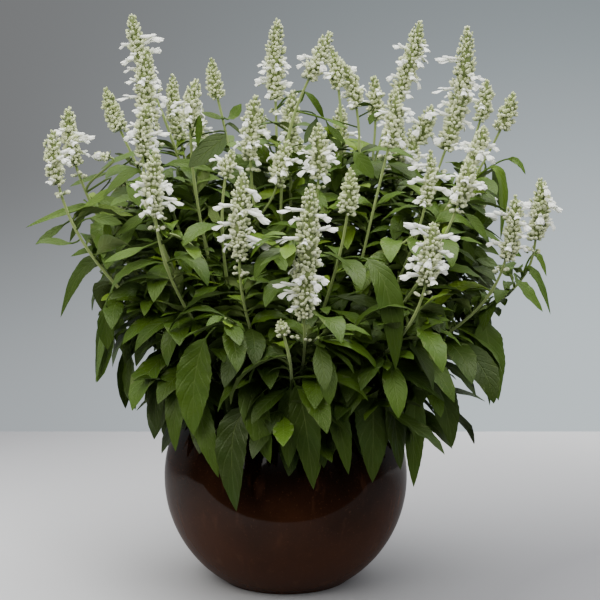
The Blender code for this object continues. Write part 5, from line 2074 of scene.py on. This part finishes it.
@dataclass
class LeafyPlant:
    """One plant of the bush: its crown, its square stems and its leaves."""

    number: int
    bush: Bush
    stem_rows: int = 22
    stem_around: int = 12
    ridge: float = 0.16
    leaf_grids: tuple[tuple[float, int, int], ...] = ((24 * MM, 6, 3), (1.0, 10, 5), (2.0, 34, 9))
    blade_thick: float = 0.5 * MM
    petiole_thick: float = 1.5 * MM
    petiole_half: float = 0.85 * MM
    small_slim: float = 0.84
    stem_slim: float = 0.92
    tooth: Pair = (0.025, 0.022)
    wave: float = 0.07
    swell: Pair = (0.4, 0.012)
    blade_end: float = 0.975
    blade_opens: float = 0.10
    petiole_taper: float = 0.6
    curls: Pair = (-0.02, 0.16)
    wave_counts: Pair = (5, 9)
    rib: Pair = (0.6 * MM, 0.12)
    # painted light and shade: a leaf's tone by the height of its middle, dark low in the bush, light at the top
    light_by_height: tuple[Numbers, Numbers] = ((0.12, 0.25, 0.45), (0.0, 0.32, 0.60))
    tone_young: float = 0.35
    tone_stray: float = 0.16
    stem_tones: Pair = (0.3, 1.0)
    crown_below: float = 8 * MM
    crown_taper: Pair = (0.9, 0.82)

    def stem_skin(self, stem: Stem, body: Body, tone: float) -> None:
        """Adds a stem: a line with a rounded square section, whose radius is the solid's half diagonal times
        1 less a ridge share of (1 + cosine of four times the angle) / 2, and which swells at each joint.

        Args:
            stem: the stem.
            body: gathers the mesh.
            tone: varies the finish.
        """
        t = np.linspace(0, 1, self.stem_rows)
        middle = bezier(stem.controls, t)
        slope = bezier_slope(stem.controls, t)
        east = units(np.cross(slope, Y + 0.01 * X))
        north = np.cross(slope, east)
        angle = circle(self.stem_around)
        more, wide = self.swell
        swell = sum(np.exp(-(((t - joint) / wide) ** 2)) for joint in stem.joints)
        radius = np.interp(t, (0, 1), (stem.foot, stem.top)) * self.stem_slim * (1 + more * swell)
        section = 1 - self.ridge * (1 + np.cos(4 * angle + 0.5)) / 2
        reach = (radius[:, None] * section)[..., None]
        rings = middle[:, None] + reach * turned(angle, east[:, None], north[:, None])
        body.tube(rings, middle[0], middle[-1], spread(angle / math.tau, t[:, None]), tone, 2)

    def leaf_skin(self, leaf: Leaf, body: Body, draw: Draw) -> None:
        """Adds a leaf: a sheet on its curved midrib, wrapped into a thin closed skin.

        Across the blade, v runs from 1 on one edge to -1 on the other. A point lies v times the half width to
        the side. It is raised by the half width times the fold times (|v| to the power 1.2 less 1), so the
        midrib is sunk, less the curl times |v| to the third, and it waves along the edge.

        Args:
            leaf: the leaf.
            body: gathers the mesh.
            draw: the source of its waves and its tone.
        """
        # A leaf of the outline counts as a metre longer, which gives it the finest grid
        length = np.linalg.norm(leaf.controls[3] - leaf.controls[0]) + leaf.large
        rows, columns = next(grid[1:] for grid in self.leaf_grids if length < grid[0])
        t = np.linspace(0.0, self.blade_end, rows)
        share = np.clip((t - leaf.petiole) / (1 - leaf.petiole), 0, 1)
        v = np.linspace(1, -1, columns)
        middle, normal, side = leaf.directions(t)
        blade = smooth_step(0.0, self.blade_opens, share)
        teeth = 1 + self.tooth[leaf.large] * (-1.0) ** np.arange(rows) * blade
        slim = 1.0 if leaf.large else self.small_slim
        petiole = self.petiole_half * (1 - share * self.petiole_taper)
        half = np.maximum(leaf.width / 2 * slim * blade_outline(share) * teeth, petiole)
        curl, phase = draw.uniform(*self.curls), draw.uniform(0, math.tau)
        along = np.sin(draw.uniform(*self.wave_counts) * math.pi * share + phase)
        waves = self.wave * along[:, None] * np.abs(v) ** 1.5 * np.sign(v)
        fold = self.bush.leaf_fold * (np.abs(v) ** 1.2 - 1) - curl * np.abs(v) ** 3
        lift = (fold + waves) * (half * blade)[:, None]
        across = (v * half[:, None])[..., None]
        sheet = middle[:, None] + side[:, None] * across + normal[:, None] * lift[..., None]
        thick = self.petiole_thick * (1 - blade) + self.blade_thick * blade
        upper = 0.5 * thick[:, None] * np.ones(columns)
        rib = self.rib[0] * (1 - share)[:, None] * np.exp(-((v / self.rib[1]) ** 2))
        rings = thin_skin(sheet, normal[:, None], upper, upper + rib)
        maps = spread((1 - v) / 2, t[:, None])
        maps = np.concatenate([maps, maps[:, -2:0:-1]], axis=1)
        # Painted shade and light: lower leaves darker, higher leaves lighter
        height = np.interp(middle[rows // 2, 2], *self.light_by_height)
        tone = np.clip(height + self.tone_young * leaf.young + self.tone_stray * draw.normal(), 0, 1)
        faces = np.array([0] * (columns - 1) + [1] * (columns - 1))
        body.tube(rings, middle[0], bezier(leaf.controls, 1.0)[0], maps, tone, faces)

    def dress(self, upper: Material, lower: Material, green: Material) -> Object:
        """Builds the plant: the crown as a stout ridged foot, then stems and leaves.

        Args:
            upper: the finish of the leaves' upper faces.
            lower: the finish of their lower faces.
            green: the finish of the stems.

        Returns:
            The plant.
        """
        body = Body()
        draw = np.random.default_rng(SEED + 20 + self.number)
        place = self.bush.crown_places()[self.number]
        low = np.array([*place, self.bush.soil.edge - self.crown_below])
        high = np.array([*place, self.bush.crown_top])
        foot, top = (self.bush.crown_radius * share for share in self.crown_taper)
        crown = Stem(self.number, np.linspace(low, high, 4), (), foot, top, 0.0, False)
        self.stem_skin(crown, body, 0.0)
        for stem in self.bush.stems:
            if stem.plant == self.number:
                self.stem_skin(stem, body, draw.uniform(*self.stem_tones))
        for leaf in self.bush.leaves:
            if leaf.stem.plant == self.number:
                self.leaf_skin(leaf, body, draw)
        return body.make(f"plant_{self.number + 1}", [upper, lower, green], 70)


def ball_rings(heights: Sequence[float], radii: Sequence[float], around: int) -> tuple[Array, Array]:
    """Points of a small turned shape of length one, with its two end points last, and its map.

    Args:
        heights: the height of each ring.
        radii: the radius of each ring.
        around: the points of a ring.

    Returns:
        N by 3 points, and N by 2 places: round the shape and up it.
    """
    z, r = np.array(heights)[:, None], np.array(radii)[:, None]
    angle = circle(around)
    rings = spread(r * np.cos(angle), r * np.sin(angle), z)
    points = np.vstack([rings.reshape(-1, 3), [[0, 0, 0], [0, 0, 1]]])
    return points, np.vstack([spread(angle / math.tau, z).reshape(-1, 2), [[0.5, 0], [0.5, 1]]])


@dataclass(frozen=True)
class Corolla:
    """An open two-lipped flower, in its own directions: sideways, up the spike, and out of the calyx."""

    throat: float = 4.2 * MM
    lip_length: float = 8.2 * MM
    lip_root: float = 1.1 * MM
    lip_half: float = 3.7 * MM
    lip_up: float = 0.6 * MM
    lip_drop: float = 2.0 * MM
    lip_sides: float = 2.4 * MM
    lobes: float = 0.17
    hood_length: float = 5.2 * MM
    hood_half: float = 2.1 * MM
    hood_up: float = 1.2 * MM
    hood_arch: Pair = (2.6 * MM, 2.1)
    hood_sides: float = 1.1 * MM
    tube_radii: Pair = (1.3 * MM, 2.1 * MM)
    tube_up: float = 0.9 * MM
    tube_below: float = 2.5 * MM
    thick: float = 0.35 * MM

    def petal(self, sheet: Array, normal: Array, tip: Array) -> Petal:
        """Wraps the sheet of a petal into a thin closed skin.

        Args:
            sheet: rows by columns by 3.
            normal: which way each point of it faces, at any length.
            tip: its end point.

        Returns:
            The rings, and the points that close their two ends.
        """
        size = sheet.shape[:2]
        rings = thin_skin(sheet, units(normal), np.full(size, self.thick), np.zeros(size))
        return rings, sheet[0].mean(axis=0), tip

    def lip(self) -> Petal:
        """The lower lip. Its reach swings with the cosine of three half turns of v, which makes three lobes; it
        widens with a power of a quarter sine; it falls with the square of its length and of v.

        Returns:
            Its skin.
        """
        u = np.array([0.05, 0.38, 0.70, 0.93])[:, None]
        v = np.linspace(1, -1, 7)
        wider = np.sin(math.pi / 2 * np.clip(1.2 * u, 0, 1)) ** 1.4
        half = self.lip_root + (self.lip_half - self.lip_root) * wider
        half = half * (1 - 0.22 * smooth_step(0.7, 1.0, u))
        out = self.throat + self.lip_length * u * (1 + self.lobes * np.cos(3 * math.pi * v) * u)
        up = self.lip_up + self.lip_drop * (0.25 * u - u**2) - self.lip_sides * v**2 * u
        tip = np.array([0, self.lip_up - 0.78 * self.lip_drop, self.throat + 1.06 * self.lip_length])
        return self.petal(spread(v * half, up, out), spread(0.4 * v, 1.0 + 0 * v, 0.2 + 1.1 * u), tip)

    def hood(self) -> Petal:
        """The upper lip: a narrow arched spoon that rises with a sine and bends over at its end.

        Returns:
            Its skin.
        """
        u = np.array([0.0, 0.5, 0.88])[:, None]
        v = np.linspace(1, -1, 4)
        rise, turn = self.hood_arch
        out = self.throat - 0.6 * MM + self.hood_length * u + 0 * v
        up = self.hood_up + rise * np.sin(turn * u) - self.hood_sides * v**2
        side = v * self.hood_half * (1 - 0.45 * u)
        tip = np.array([0, self.hood_up + rise * math.sin(turn) - 0.4 * MM, self.throat + self.hood_length])
        return self.petal(spread(side, up, out), spread(0.6 * v, 1.0 + 0 * v, 0.1 + 0.4 * u), tip)

    def tube(self) -> Petal:
        """The tube out of the calyx: a cone that opens a little towards the throat.

        Returns:
            Its rings and end points.
        """
        angle = circle(6)
        radius = np.array(self.tube_radii)[:, None]
        out = np.array([-self.tube_below, self.throat + 0.8 * MM])[:, None]
        rings = spread(radius * np.cos(angle), self.tube_up + radius * np.sin(angle), out)
        return rings, rings[0].mean(axis=0), rings[1].mean(axis=0)


FADING = Corolla(
    throat=2.2 * MM, lip_length=5.6 * MM, lip_half=4.0 * MM, lip_drop=6.0 * MM, hood_length=3.6 * MM
)  # one that is about to fall


@dataclass(frozen=True)
class SpikeDressing:
    """The fine form of a flower spike: its axis, the calyces in close rings, and its open flowers."""

    spike: FlowerSpike
    number: int
    powers: Numbers = (1.9, 1.0, 4.5)  # of a bud's cone, more for each flower, and the most
    whorl: float = 13 * MM
    whorl_swell: float = 0.15
    whorl_fade: Pair = (0.45, 0.95)
    bud_stout: float = 1.7
    flower_stout: float = 1.25
    taper: float = 0.12
    pitch: float = 3.8 * MM
    around: float = 13.0
    crowding: Pair = (0.5, 0.7)
    row_turn: float = 0.93
    loose_row: tuple[float, int] = (-0.17, 7)  # its share of the height, and its calyces
    bud_length: float = 6.6 * MM
    bud_half: float = 2.0 * MM
    bud_strays: Numbers = (0.30, 0.17, 0.22)  # along the spike in rows, round it, and in how steeply it stands
    bud_top: float = 0.985
    bud_shrink: Pair = (0.62, 0.38)
    bud_sizes: Pair = (0.75, 1.2)
    slim_sizes: Pair = (0.55, 0.5)
    bud_rises: tuple[Numbers, Numbers] = ((0, 0.3, 0.7, 1.0), (0.05, 0.38, 0.75, 1.3))
    bud_reach: Pair = (0.84, 1.30)
    bud_form: tuple[Numbers, Numbers] = ((0.12, 0.58, 0.88), (0.45, 1.0, 0.55))
    bud_tone: Numbers = (0.15, 0.6, 0.2, 0.25)  # at the foot, more at the top, its stray, more if none is open
    flare: float = 2.6 * MM
    flare_ends: Pair = (-0.1, 0.3)
    head_up: float = 1.2 * MM
    bracts: int = 4
    bract: tuple[float, float, float] = (1.7 * MM, 0.5 * MM, 8.0 * MM)
    bract_rises: Pair = (-0.4, 0.5)
    bract_form: tuple[Numbers, Numbers] = ((0.10, 0.40, 0.75), (0.45, 1.0, 0.62))
    core: float = 0.6
    core_span: tuple[float, float, int] = (0.03, 0.93, 11)
    stem_radius: float = 1.5 * MM
    stem_points: int = 8
    whorl_flowers: int = 3
    flower_strays: Numbers = (0.035, 0.35, 0.15, 0.25)  # along the spike, round it, in its rise and in its roll
    flower_span: Pair = (0.02, 0.9)
    flower_sizes: Pair = (0.8, 1.2)
    behind: float = -0.1
    lip_middle: float = 9.0 * MM
    lip_roll: float = 0.5
    longest: float = 1.7
    fading_share: float = 0.3

    def girth(self, s: Array) -> Array:
        """The radius of the column. A spike in full flower keeps its width nearly to the top, and one that is
        still in bud is a cone: a slow straight taper, times the share of the height to the power 0.12, times 1
        less a power of the share, which rises with the count of its flowers, to the power 0.65. It swells and
        shrinks by a cosine of the height, a whorl apart, which fades out towards the top.

        Args:
            s: the shares of its height.

        Returns:
            The radii, as shares of the widest.
        """
        flowers = self.spike.florets
        least, more, most = self.powers
        power = min(most, least + more * flowers)
        stout = self.flower_stout if flowers else self.bud_stout
        s = np.clip(s, 0.02, 1)
        whorls = np.linalg.norm(self.spike.tip - self.spike.base) / self.whorl
        fade = 1 - smooth_step(*self.whorl_fade, s)
        swell = self.whorl_swell * (flowers > 0) * np.cos(math.tau * whorls * s) * fade
        return stout * (1 - self.taper * s + swell) * s**0.12 * (1 - s**power) ** 0.65

    def reach(self, s: Array) -> Array:
        """The radius of the column at these shares of its height, in metres."""
        return self.spike.radius * self.spike.width * self.girth(s)

    def directions(self, angle: Array, rise: Array) -> Array:
        """Three directions for each copy: sideways, up and out, where out rises by an angle from the level.

        Args:
            angle: where round the spike.
            rise: how steeply out points up the spike.

        Returns:
            Copies by 3 by 3.
        """
        along, east, north = self.spike.frame()
        way = turned(angle, east, north)
        side = np.cross(along, way)
        out = turned(rise, way, along)
        return np.stack([side, np.cross(out, side), out], axis=1)

    def add_buds(self, body: Body, draw: Draw) -> None:
        """Adds the calyces. They stand in rows a pitch apart, each row turned against the last, and every one
        strays from its place. Those at the foot lean out, and those at the top stand up and stay small. A loose
        row of a few stands on the stem below a spike in flower.

        Args:
            body: gathers the mesh.
            draw: the source of their strays, sizes and tones.
        """
        spike = self.spike
        rows = max(3, round(np.linalg.norm(spike.tip - spike.base) / self.pitch))
        number = np.arange(rows)
        row_share = (number + 0.3) / (rows - 0.2)
        by_width, by_girth = self.crowding
        counts = self.around * spike.width**by_width * self.girth(row_share) ** by_girth
        counts = np.maximum(4, counts).astype(int)
        if spike.florets > 2:
            loose = (*self.loose_row, 0)
            row_share, counts, number = (np.append(*pair) for pair in zip((row_share, counts, number), loose))
        total = counts.sum()
        stray_along, stray_round, stray_rise = self.bud_strays
        share = np.repeat(row_share, counts) + draw.normal(size=total) * stray_along / rows
        in_row = np.arange(total) - np.repeat(np.cumsum(counts) - counts, counts)
        angle = np.repeat(number * self.row_turn, counts) + in_row * math.tau / np.repeat(counts, counts)
        angle += draw.normal(size=total) * stray_round
        share = np.minimum(share, self.bud_top)
        least, more = self.bud_shrink
        size = (least + more * (1 - smooth_step(0.5, 1.0, share))) * draw.uniform(*self.bud_sizes, total)
        size *= min(1.0, self.slim_sizes[0] + self.slim_sizes[1] * spike.width)
        rise = np.interp(share, *self.bud_rises) + draw.normal(size=total) * stray_rise
        ways = self.directions(angle, rise)
        along, east, north = spike.frame()
        loose = self.flare * (1 - smooth_step(*self.flare_ends, share)) * draw.uniform(0, 1, total)
        reach = self.reach(share) * draw.uniform(*self.bud_reach, total) + loose
        heads = spike.axis(share) + turned(angle, east, north) * reach[:, None] + along * self.head_up
        feet = heads - ways[:, 2] * (self.bud_length * size)[:, None]
        shape, maps = ball_rings(*self.bud_form, 5)
        half = (self.bud_half * size)[:, None]
        scale = np.stack([half, half, (self.bud_length * size)[:, None]], axis=1)
        points = feet[:, None] + np.einsum("nk,ckj->cnj", shape, ways * scale)
        quads, tris = tube_faces(3, 5)
        foot, top, stray, closed = self.bud_tone
        tone = foot + top * share + stray * draw.normal(size=total) + closed * (spike.florets == 0)
        body.add(points, quads, tris, maps, np.clip(tone, 0, 1), (1, 1))

    def add_bracts(self, body: Body, draw: Draw) -> None:
        """Adds the small green leaves under the lowest calyces: flat buds that lean out and down a little.

        Args:
            body: gathers the mesh.
            draw: the source of their turns, rises and sizes.
        """
        angle = circle(self.bracts) + draw.uniform(0, math.tau, self.bracts) * 0.2
        ways = self.directions(angle, draw.uniform(*self.bract_rises, self.bracts))
        start = self.spike.axis(np.full(self.bracts, 0.01)) + ways[:, 2] * self.stem_radius * 0.5
        shape, maps = ball_rings(*self.bract_form, 6)
        scale = np.array(self.bract)[None, :, None] * draw.uniform(0.7, 1.2, (self.bracts, 1, 1))
        points = start[:, None] + np.einsum("nk,ckj->cnj", shape, ways * scale)
        quads, tris = tube_faces(3, 6)
        body.add(points, quads, tris, maps, 0.5, (0, 0))

    def add_core(self, body: Body) -> None:
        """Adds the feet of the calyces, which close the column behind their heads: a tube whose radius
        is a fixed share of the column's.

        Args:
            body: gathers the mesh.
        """
        t = np.linspace(*self.core_span)
        _, east, north = self.spike.frame()
        radius = (self.core * self.spike.radius * self.spike.width * self.girth(t))[:, None, None]
        rings = self.spike.axis(t)[:, None] + radius * turned(circle(self.stem_points), east, north)
        maps = np.full((*rings.shape[:2], 2), 0.1)
        body.tube(rings, self.spike.axis(0.005)[0], self.spike.axis(0.97)[0], maps, 0.5, 1)

    def add_flowers(self, body: Body, draw: Draw) -> None:
        """Adds the open flowers. Those that the eye sees stand where it sees them: each leaves the spike level
        with its place, turned so that the sine of its angle from the eye is the distance aside over its reach,
        and its tube is as long as it takes. The others stand in whorls: one where the solid has it, and more
        round the spike at about the same height.

        Args:
            body: gathers the mesh.
            draw: the source of their strays, sizes and tones.
        """
        spike = self.spike
        if not spike.florets:
            return
        level, turn = np.array([spike.floret_place(k) for k in range(spike.florets)]).T
        grid = (spike.florets, self.whorl_flowers - 1)
        stray_along, stray_round, stray_rise, stray_roll = self.flower_strays
        more = (level[:, None] + draw.normal(size=grid) * stray_along).ravel()
        share = np.concatenate([level, more])
        more = (turn[:, None] + circle(self.whorl_flowers)[1:] + draw.normal(size=grid) * stray_round).ravel()
        angle = np.concatenate([turn, more])
        longer = np.ones(len(share))
        if spike.name in FLOWERS:
            seen = np.array(FLOWERS[spike.name], float).reshape(-1, 2)
            behind = np.sin(angle) < self.behind
            t = np.linspace(*self.flower_span, 60)
            line = EYE.sights(spike.axis(t))
            best = np.linalg.norm(line - seen[:, None], axis=2).argmin(axis=1)
            aside = (seen - line[best])[:, 0] * MM
            column = self.reach(t[best])
            share = np.concatenate([share[behind], t[best]])
            sine = np.clip(-aside / (column + self.lip_middle), -0.97, 0.97)
            angle = np.concatenate([angle[behind], np.arccos(sine)])
            stretch = np.clip((np.abs(aside) - column) / self.lip_middle, 1.0, self.longest)
            longer = np.concatenate([longer[behind], stretch])
        share = np.clip(share, *self.flower_span)
        rise = draw.normal(size=len(share)) * stray_rise - 0.02
        ways = self.directions(angle, rise)
        roll = draw.normal(size=len(share)) * stray_roll - self.lip_roll * np.cos(angle)
        side = turned(roll, ways[:, 0], ways[:, 1])
        up = turned(roll, ways[:, 1], -ways[:, 0])
        size = draw.uniform(*self.flower_sizes, len(share))[:, None]
        start = spike.axis(share) + ways[:, 2] * self.reach(share)[:, None]
        ways = np.stack([side * size, up * size, ways[:, 2] * longer[:, None]], axis=1)
        tone = draw.uniform(0, 1, len(share))
        fading = draw.uniform(size=len(share)) < self.fading_share
        for form, chosen in ((Corolla(), ~fading), (FADING, fading)):
            self.add_corollas(form, start[chosen], ways[chosen], tone[chosen], body)

    def add_corollas(self, form: Corolla, start: Array, ways: Array, tone: Array, body: Body) -> None:
        """Adds the flowers of one form.

        Args:
            form: their shape.
            start: where each leaves the spike, one row a flower.
            ways: its directions sideways, up and out, each as long as its size.
            tone: varies the finish of each.
            body: gathers the mesh.
        """
        for rings, root, tip in (form.lip(), form.hood(), form.tube()):
            rows, around = rings.shape[:2]
            shape = np.vstack([rings.reshape(-1, 3), root, tip])
            maps = spread(np.arange(around) / around, np.linspace(0.1, 1, rows)[:, None]).reshape(-1, 2)
            maps = np.vstack([maps, [[0.5, 0.0], [0.5, 1.0]]])
            quads, tris = tube_faces(rows, around)
            points = start[:, None] + np.einsum("nk,ckj->cnj", shape, ways)
            body.add(points, quads, tris, maps, tone, (2, 2))

    def dress(self, green: Material, calyx: Material, petal: Material) -> Object:
        """Builds the spike.

        Args:
            green: the finish of its axis.
            calyx: the finish of its calyces.
            petal: the finish of its flowers.

        Returns:
            The spike.
        """
        body = Body()
        draw = np.random.default_rng(SEED + 100 + self.number)
        t = np.linspace(0.0, 0.96, 12)
        middle = self.spike.axis(t) + unit(self.spike.tip - self.spike.base) * GAP * (1 - t[:, None])
        _, east, north = self.spike.frame()
        angle = circle(self.stem_points)
        radius = (self.stem_radius * self.spike.width**0.5 * (1 - 0.6 * t))[:, None, None]
        rings = middle[:, None] + radius * turned(angle, east, north)
        maps = spread(angle / math.tau, 0.9 + 0 * t[:, None])
        body.tube(rings, middle[0], self.spike.axis(0.99)[0], maps, 1.0, 0)
        self.add_core(body)
        self.add_bracts(body, draw)
        self.add_buds(body, draw)
        self.add_flowers(body, draw)
        return body.make(f"spike_{self.spike.name}", [green, calyx, petal], 75)


class Softbox(Enum):
    """The lamps of the studio: place, what each looks at, size, power and colour."""

    KEY = ((-1.1, -1.35, 1.5), (0.0, 0.0, 0.25), 1.7, 28.0, "fffdf8")
    FILL = ((1.7, -1.3, 1.1), (0.0, 0.0, 0.25), 2.4, 20.0, "fbfcff")
    TOP = ((0.1, 0.15, 2.1), (0.0, 0.0, 0.20), 2.2, 60.0, "ffffff")


@dataclass(frozen=True)
class Studio:
    """Floor, light, backdrop and camera."""

    floor_back: float = 0.585
    floor_front: float = -0.285
    floor_half: float = 1.6
    floor_thick: float = 0.02
    lens: float = 132.0
    sensor: float = 36.0
    wall: tuple[str, ...] = ("78797a", "b0b6ba", "8d969a", "d8e3e8")  # left above, left below, then right
    wall_left: Pair = (-0.25, -0.125)
    wall_right: Pair = (-0.22, -0.03)
    wall_across: Pair = (-0.17, 0.14)
    room: tuple[str, ...] = ("3a3a3a", "8f9193", "dcdddd")  # behind the eye, ahead of it, and above
    room_ahead: Pair = (0.05, 0.45)
    room_above: Pair = (0.2, 0.9)
    room_light: float = 1.7

    def lay_floor(self, finish: Material) -> None:
        """Lays the board: a flat closed slab, whose back edge is the line behind the pot.

        Args:
            finish: the board's material.
        """
        x = np.array([-1, 1, 1, -1]) * self.floor_half
        y = np.array([self.floor_front, self.floor_front, self.floor_back, self.floor_back])
        ring = np.stack([x, y, np.zeros(4)], axis=1)
        rings = np.stack([ring - Z * self.floor_thick, ring])
        middle = ring.mean(axis=0)
        body = Body()
        body.tube(rings, middle - Z * self.floor_thick, middle, np.zeros((2, 4, 2)))
        body.make("floor", [finish], 30)

    def hang_lights(self) -> None:
        """Hangs the soft lamps."""
        for box in Softbox:
            place, target, size, power, colour = box.value
            lamp = bpy.data.lights.new(box.name.lower(), "AREA")
            lamp.shape = "DISK"
            lamp.size, lamp.energy, lamp.color = size, power, linear(colour)[:3]
            made = bpy.data.objects.new(box.name.lower(), lamp)
            made.location = place
            made.visible_glossy = box is not Softbox.FILL  # its disc would show in the pot
            made.rotation_euler = (Vector(target) - Vector(place)).to_track_quat("-Z", "Y").to_euler()
            bpy.context.scene.collection.objects.link(made)

    def paint_backdrop(self) -> None:
        """Paints what lies all round. The camera sees a plain grey wall, paler to the lower right. The light
        that it gives is a grey room, dark on the side that the plant faces, as the pot's gloss shows. Each fade
        runs between two values of one part of the direction."""
        world = bpy.data.worlds.new("studio")
        bpy.context.scene.world = world
        world.use_nodes = True
        tree = world.node_tree
        tree.nodes.clear()
        way = node(tree, "NodeTexCoord", {}, {}).outputs["Generated"]
        x, y, z = node(tree, "NodeSeparateXYZ", {}, {0: way}).outputs[:3]
        fall = SMOOTH | {AT_LOW: 1.0, AT_HIGH: 0.0}
        low, high = self.wall_left
        down_left = node(tree, "NodeMapRange", fall | {LOW: low, HIGH: high}, {VALUE: z})
        low, high = self.wall_right
        down_right = node(tree, "NodeMapRange", fall | {LOW: low, HIGH: high}, {VALUE: z})
        low, high = self.wall_across
        right = node(tree, "NodeMapRange", SMOOTH | {LOW: low, HIGH: high}, {VALUE: x})
        above, below = self.wall[:2]
        left_wall = node(tree, "NodeMix", COLOURS | {UNDER: above, OVER: below}, {SHARE: down_left})
        above, below = self.wall[2:]
        right_wall = node(tree, "NodeMix", COLOURS | {UNDER: above, OVER: below}, {SHARE: down_right})
        wall = node(tree, "NodeMix", COLOURS, {SHARE: right, UNDER: left_wall, OVER: right_wall})
        seen = node(tree, "NodeBackground", {}, {"Color": wall})
        low, high = self.room_ahead
        ahead = node(tree, "NodeMapRange", SMOOTH | {LOW: low, HIGH: high}, {VALUE: y})
        room = node(tree, "NodeMix", COLOURS | {UNDER: self.room[0], OVER: self.room[1]}, {SHARE: ahead})
        low, high = self.room_above
        above = node(tree, "NodeMapRange", SMOOTH | {LOW: low, HIGH: high, AT_HIGH: 0.8}, {VALUE: z})
        room = node(tree, "NodeMix", COLOURS | {OVER: self.room[2]}, {SHARE: above, UNDER: room})
        lit = node(tree, "NodeBackground", {"in:Strength": self.room_light}, {"Color": room})
        ray = node(tree, "NodeLightPath", {}, {}).outputs["Is Camera Ray"]
        both = node(tree, "NodeMixShader", {}, {0: ray, 1: lit, 2: seen})
        node(tree, "NodeOutputWorld", {}, {"Surface": both})

    def set_camera(self) -> None:
        """Sets the camera at the eye."""
        data = bpy.data.cameras.new("camera")
        data.lens, data.sensor_width = self.lens, self.sensor
        made = bpy.data.objects.new("camera", data)
        aim = Vector(EYE.aim)
        forward = Vector(EYE.forward())
        made.location = aim - forward * EYE.distance
        made.rotation_euler = forward.to_track_quat("-Z", "Y").to_euler()
        bpy.context.scene.collection.objects.link(made)
        bpy.context.scene.camera = made

    def build(self) -> None:
        """Builds the studio."""
        self.lay_floor(MattBoard().make())
        self.hang_lights()
        self.paint_backdrop()
        self.set_camera()


def main() -> None:
    """Loads the solids, plans the bush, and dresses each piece."""
    logging.basicConfig(level=logging.INFO, format="%(name)s: %(message)s")
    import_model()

    pot = BallPot()
    soil = PottingSoil(pot)
    put_in_place(pot.dress(GlazedStoneware().make()), "pot_glaze", "pot")
    put_in_place(soil.dress(PeatMix().make()), "potting_soil", "soil")

    bush = Bush(pot, soil)
    bush.plan()
    green = SageStem().make()
    upper = SageLeaf().make()
    lower = SageLeaf(
        title="sage leaf underside",
        roughness=0.8,
        face=LeafFace.LOWER,
        deep_and_shaded="37471d",
        fresh="617339",
        young="85965b",
        rib="93a171",
        vein_share=0.12,
    ).make()
    calyx = FeltedCalyx().make()
    petal = SalviaPetal().make()
    for number in range(bush.ring_plants + 1):
        plant = LeafyPlant(number, bush).dress(upper, lower, green)
        put_in_place(plant, "leaf_green", f"leafy_plant_{number + 1}")
    for number, spike in enumerate(bush.spikes):
        made = SpikeDressing(spike, number).dress(green, calyx, petal)
        nodes = [] if spike.late else [f"flower_spike_{spike.name}"]
        put_in_place(made, "flower_white", *nodes)

    Studio().build()


if __name__ == "__main__":
    main()
